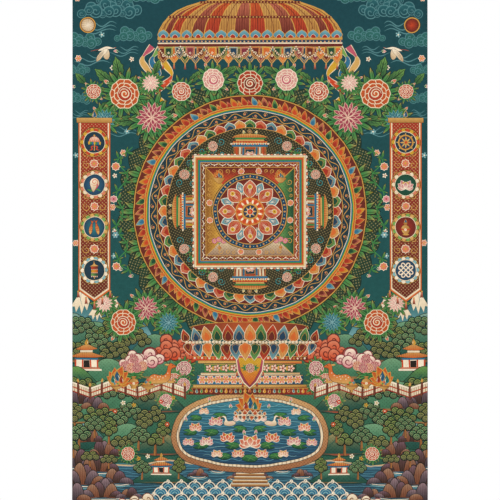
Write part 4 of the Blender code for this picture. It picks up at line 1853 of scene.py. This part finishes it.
def noise(place, stretch, detail=2.0, roughness=0.5):
    """Cloudy values about a half, with so many spots to a metre across, through and up."""
    moved = place.node("ShaderNodeVectorMath", {"operation": "MULTIPLY"}, {0: place, 1: stretch})
    return place.node(
        "ShaderNodeTexNoise", {}, {"Vector": moved, "Scale": 1.0, "Detail": detail, "Roughness": roughness}
    )


def woven(place):
    """Plain weave: half the sum of two sines, one across and one up."""
    parts = place.node("ShaderNodeSeparateXYZ", {}, {"Vector": place})
    turn = 2 * np.pi / THREAD_PITCH
    warp, weft = ((parts.beside(axis) * turn).math("SINE") for axis in "XZ")
    return (warp + weft) * 0.5


def carried(start, name):
    """What the mesh carries under this name at its corners."""
    return start.node("ShaderNodeAttribute", {"attribute_name": name, "attribute_type": "GEOMETRY"})


def bumped(strength, distance, height):
    """The surface's direction, disturbed by a height."""
    sockets = {"Strength": strength, "Distance": distance, "Height": height}
    return height.node("ShaderNodeBump", {}, sockets)


def cosine(turns):
    """The cosine of a number of turns."""
    return (turns * (2 * np.pi)).math("COSINE")


def mixed(share, first, last, blend="MIX"):
    """Mixes two colours by a share; each is a wire or four numbers."""
    some = next(term for term in (share, first, last) if isinstance(term, Wire))
    settings = {"data_type": "RGBA", "blend_type": blend, "clamp_factor": True}
    return some.node("ShaderNodeMix", settings, {0: share, 6: first, 7: last}, output=2)


def toned(colour, tone, tint=(1.0, 1.0, 1.0)):
    """A colour made darker or lighter by a tone, with a tint."""
    red, green, blue = (tone * part for part in tint)
    shade = tone.node("ShaderNodeCombineColor", {}, {"Red": red, "Green": green, "Blue": blue})
    return mixed(1.0, colour, shade, "MULTIPLY")


def painted_face():
    """Matt mineral paint over the weave: the picture's colours with fine brushwork; gold lines shine."""

    def links(start):
        place = object_place(start)
        paint, touch = carried(start, "paint"), carried(start, "brushwork")
        gold = paint.beside("Alpha")
        cloudy = noise(place, CLOUDS, 3.0)
        load = noise(place, LOAD, 3.0, 0.6)
        grain = noise(place, GRAIN)

        parts = touch.node("ShaderNodeSeparateColor", {}, {"Color": touch})
        beside, along, strength = (parts.beside(name) for name in ("Red", "Green", "Blue"))
        ridge = cosine(beside + 0.4 * load)
        lines = (ridge * 1.8 - 0.7 + grain * 0.6).clamped()
        dots = (ridge * cosine(along + 0.4 * load) * 4.0 - 1.6).clamped()
        marks = (lines + (dots - lines) * touch.beside("Alpha")) * strength
        darker = mixed(marks.clamped() * LINE_DEPTH, paint, mixed(1.0, paint, LINE_TINT, "MULTIPLY"))
        paler = mixed(touch.beside("Alpha"), mixed(1.0, paint, LINE_LIFT, "MULTIPLY"), DOT_LIGHT)
        drawn = mixed((0.0 - marks).clamped() * LINE_DEPTH, darker, paler)

        tone = TONE + 0.16 * cloudy + 0.42 * load + 0.36 * grain
        height = woven(place) * 0.5 + grain * 0.5 + load * 0.5 + gold * 0.6
        return {
            "Base Color": toned(drawn, tone, AGED_TINT), "Metallic": gold * 0.8,
            "Roughness": 0.96 - 0.10 * load - 0.45 * gold, "Normal": bumped(0.35, 0.0002, height)
        }

    return new_material("painted_face", {"Specular IOR Level": 0.25}, links)


def bare_cotton():
    """The raw back and the cut edges: pale sized cotton with slubs, soft stains and a coarse weave."""

    def links(start):
        place = object_place(start)
        stain = noise(place, STAINS, 5.0, 0.6)
        slub = noise(place, SLUBS, 3.0)
        pale, aged = (tuple(linear_light(colour)) for colour in (BARE_COTTON, AGED_COTTON))
        height = woven(place) + slub * 0.8
        return {
            "Base Color": toned(mixed(stain * 1.3 - 0.15, pale, aged), 0.86 + 0.22 * slub),
            "Normal": bumped(0.5, 0.0003, height)
        }

    return new_material("bare_cotton", {"Roughness": 0.95, "Specular IOR Level": 0.2}, links)


# ---------------- the piece


def added(name, data):
    """A new object with this data, in the scene."""
    thing = bpy.data.objects.new(name, data)
    bpy.context.scene.collection.objects.link(thing)
    return thing


panel = added("painted_cotton_panel", cloth_mesh(picture()))
panel.data.materials.append(painted_face())
panel.data.materials.append(bare_cotton())
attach(panel, "root")
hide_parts(CLOTH_NODE)

# ---------------- floor, light and camera

SEEN_SHARE = 355.0 / 500.0  # the cloth's width as a share of the photo's frame
LENS = 120.0
FILM = 36.0
FLOOR_RADIUS = 1.1
FLOOR_PLACE = (0, -0.2, -CLOTH_LENGTH - 0.2)
KEY_PLACE = (-1.3, -2.0, 0.7)
KEY_TURN = np.radians((62, 0, -33))
KEY_SIZE = (1.6, 1.2)
KEY_POWER = 9.0

bpy.ops.mesh.primitive_circle_add(vertices=96, radius=FLOOR_RADIUS, fill_type="NGON", location=FLOOR_PLACE)
floor = bpy.context.object
floor.name = "studio_floor"
floor.data.materials.append(
    new_material("pale_floor", {"Base Color": (0.80, 0.80, 0.79, 1), "Roughness": 0.7}, lambda start: {})
)

camera_data = bpy.data.cameras.new("camera")
camera_data.lens = LENS
camera_data.sensor_width = FILM
camera = added("camera", camera_data)
camera.location = (0.0, -CLOTH_WIDTH / SEEN_SHARE * LENS / FILM, -0.5 * CLOTH_LENGTH)
camera.rotation_euler = (np.radians(90), 0, 0)
bpy.context.scene.camera = camera

key_data = bpy.data.lights.new("soft_key", "AREA")
key_data.shape = "RECTANGLE"
key_data.size, key_data.size_y = KEY_SIZE
key_data.energy = KEY_POWER
key = added("soft_key", key_data)
key.location = KEY_PLACE
key.rotation_euler = KEY_TURN

world = bpy.data.worlds.new("studio")
bpy.context.scene.world = world
world.use_nodes = True
backdrop = world.node_tree.nodes["Background"].inputs
backdrop["Color"].default_value = (1, 1, 1, 1)
backdrop["Strength"].default_value = 1.0
bpy.context.scene.view_settings.view_transform = "Standard"
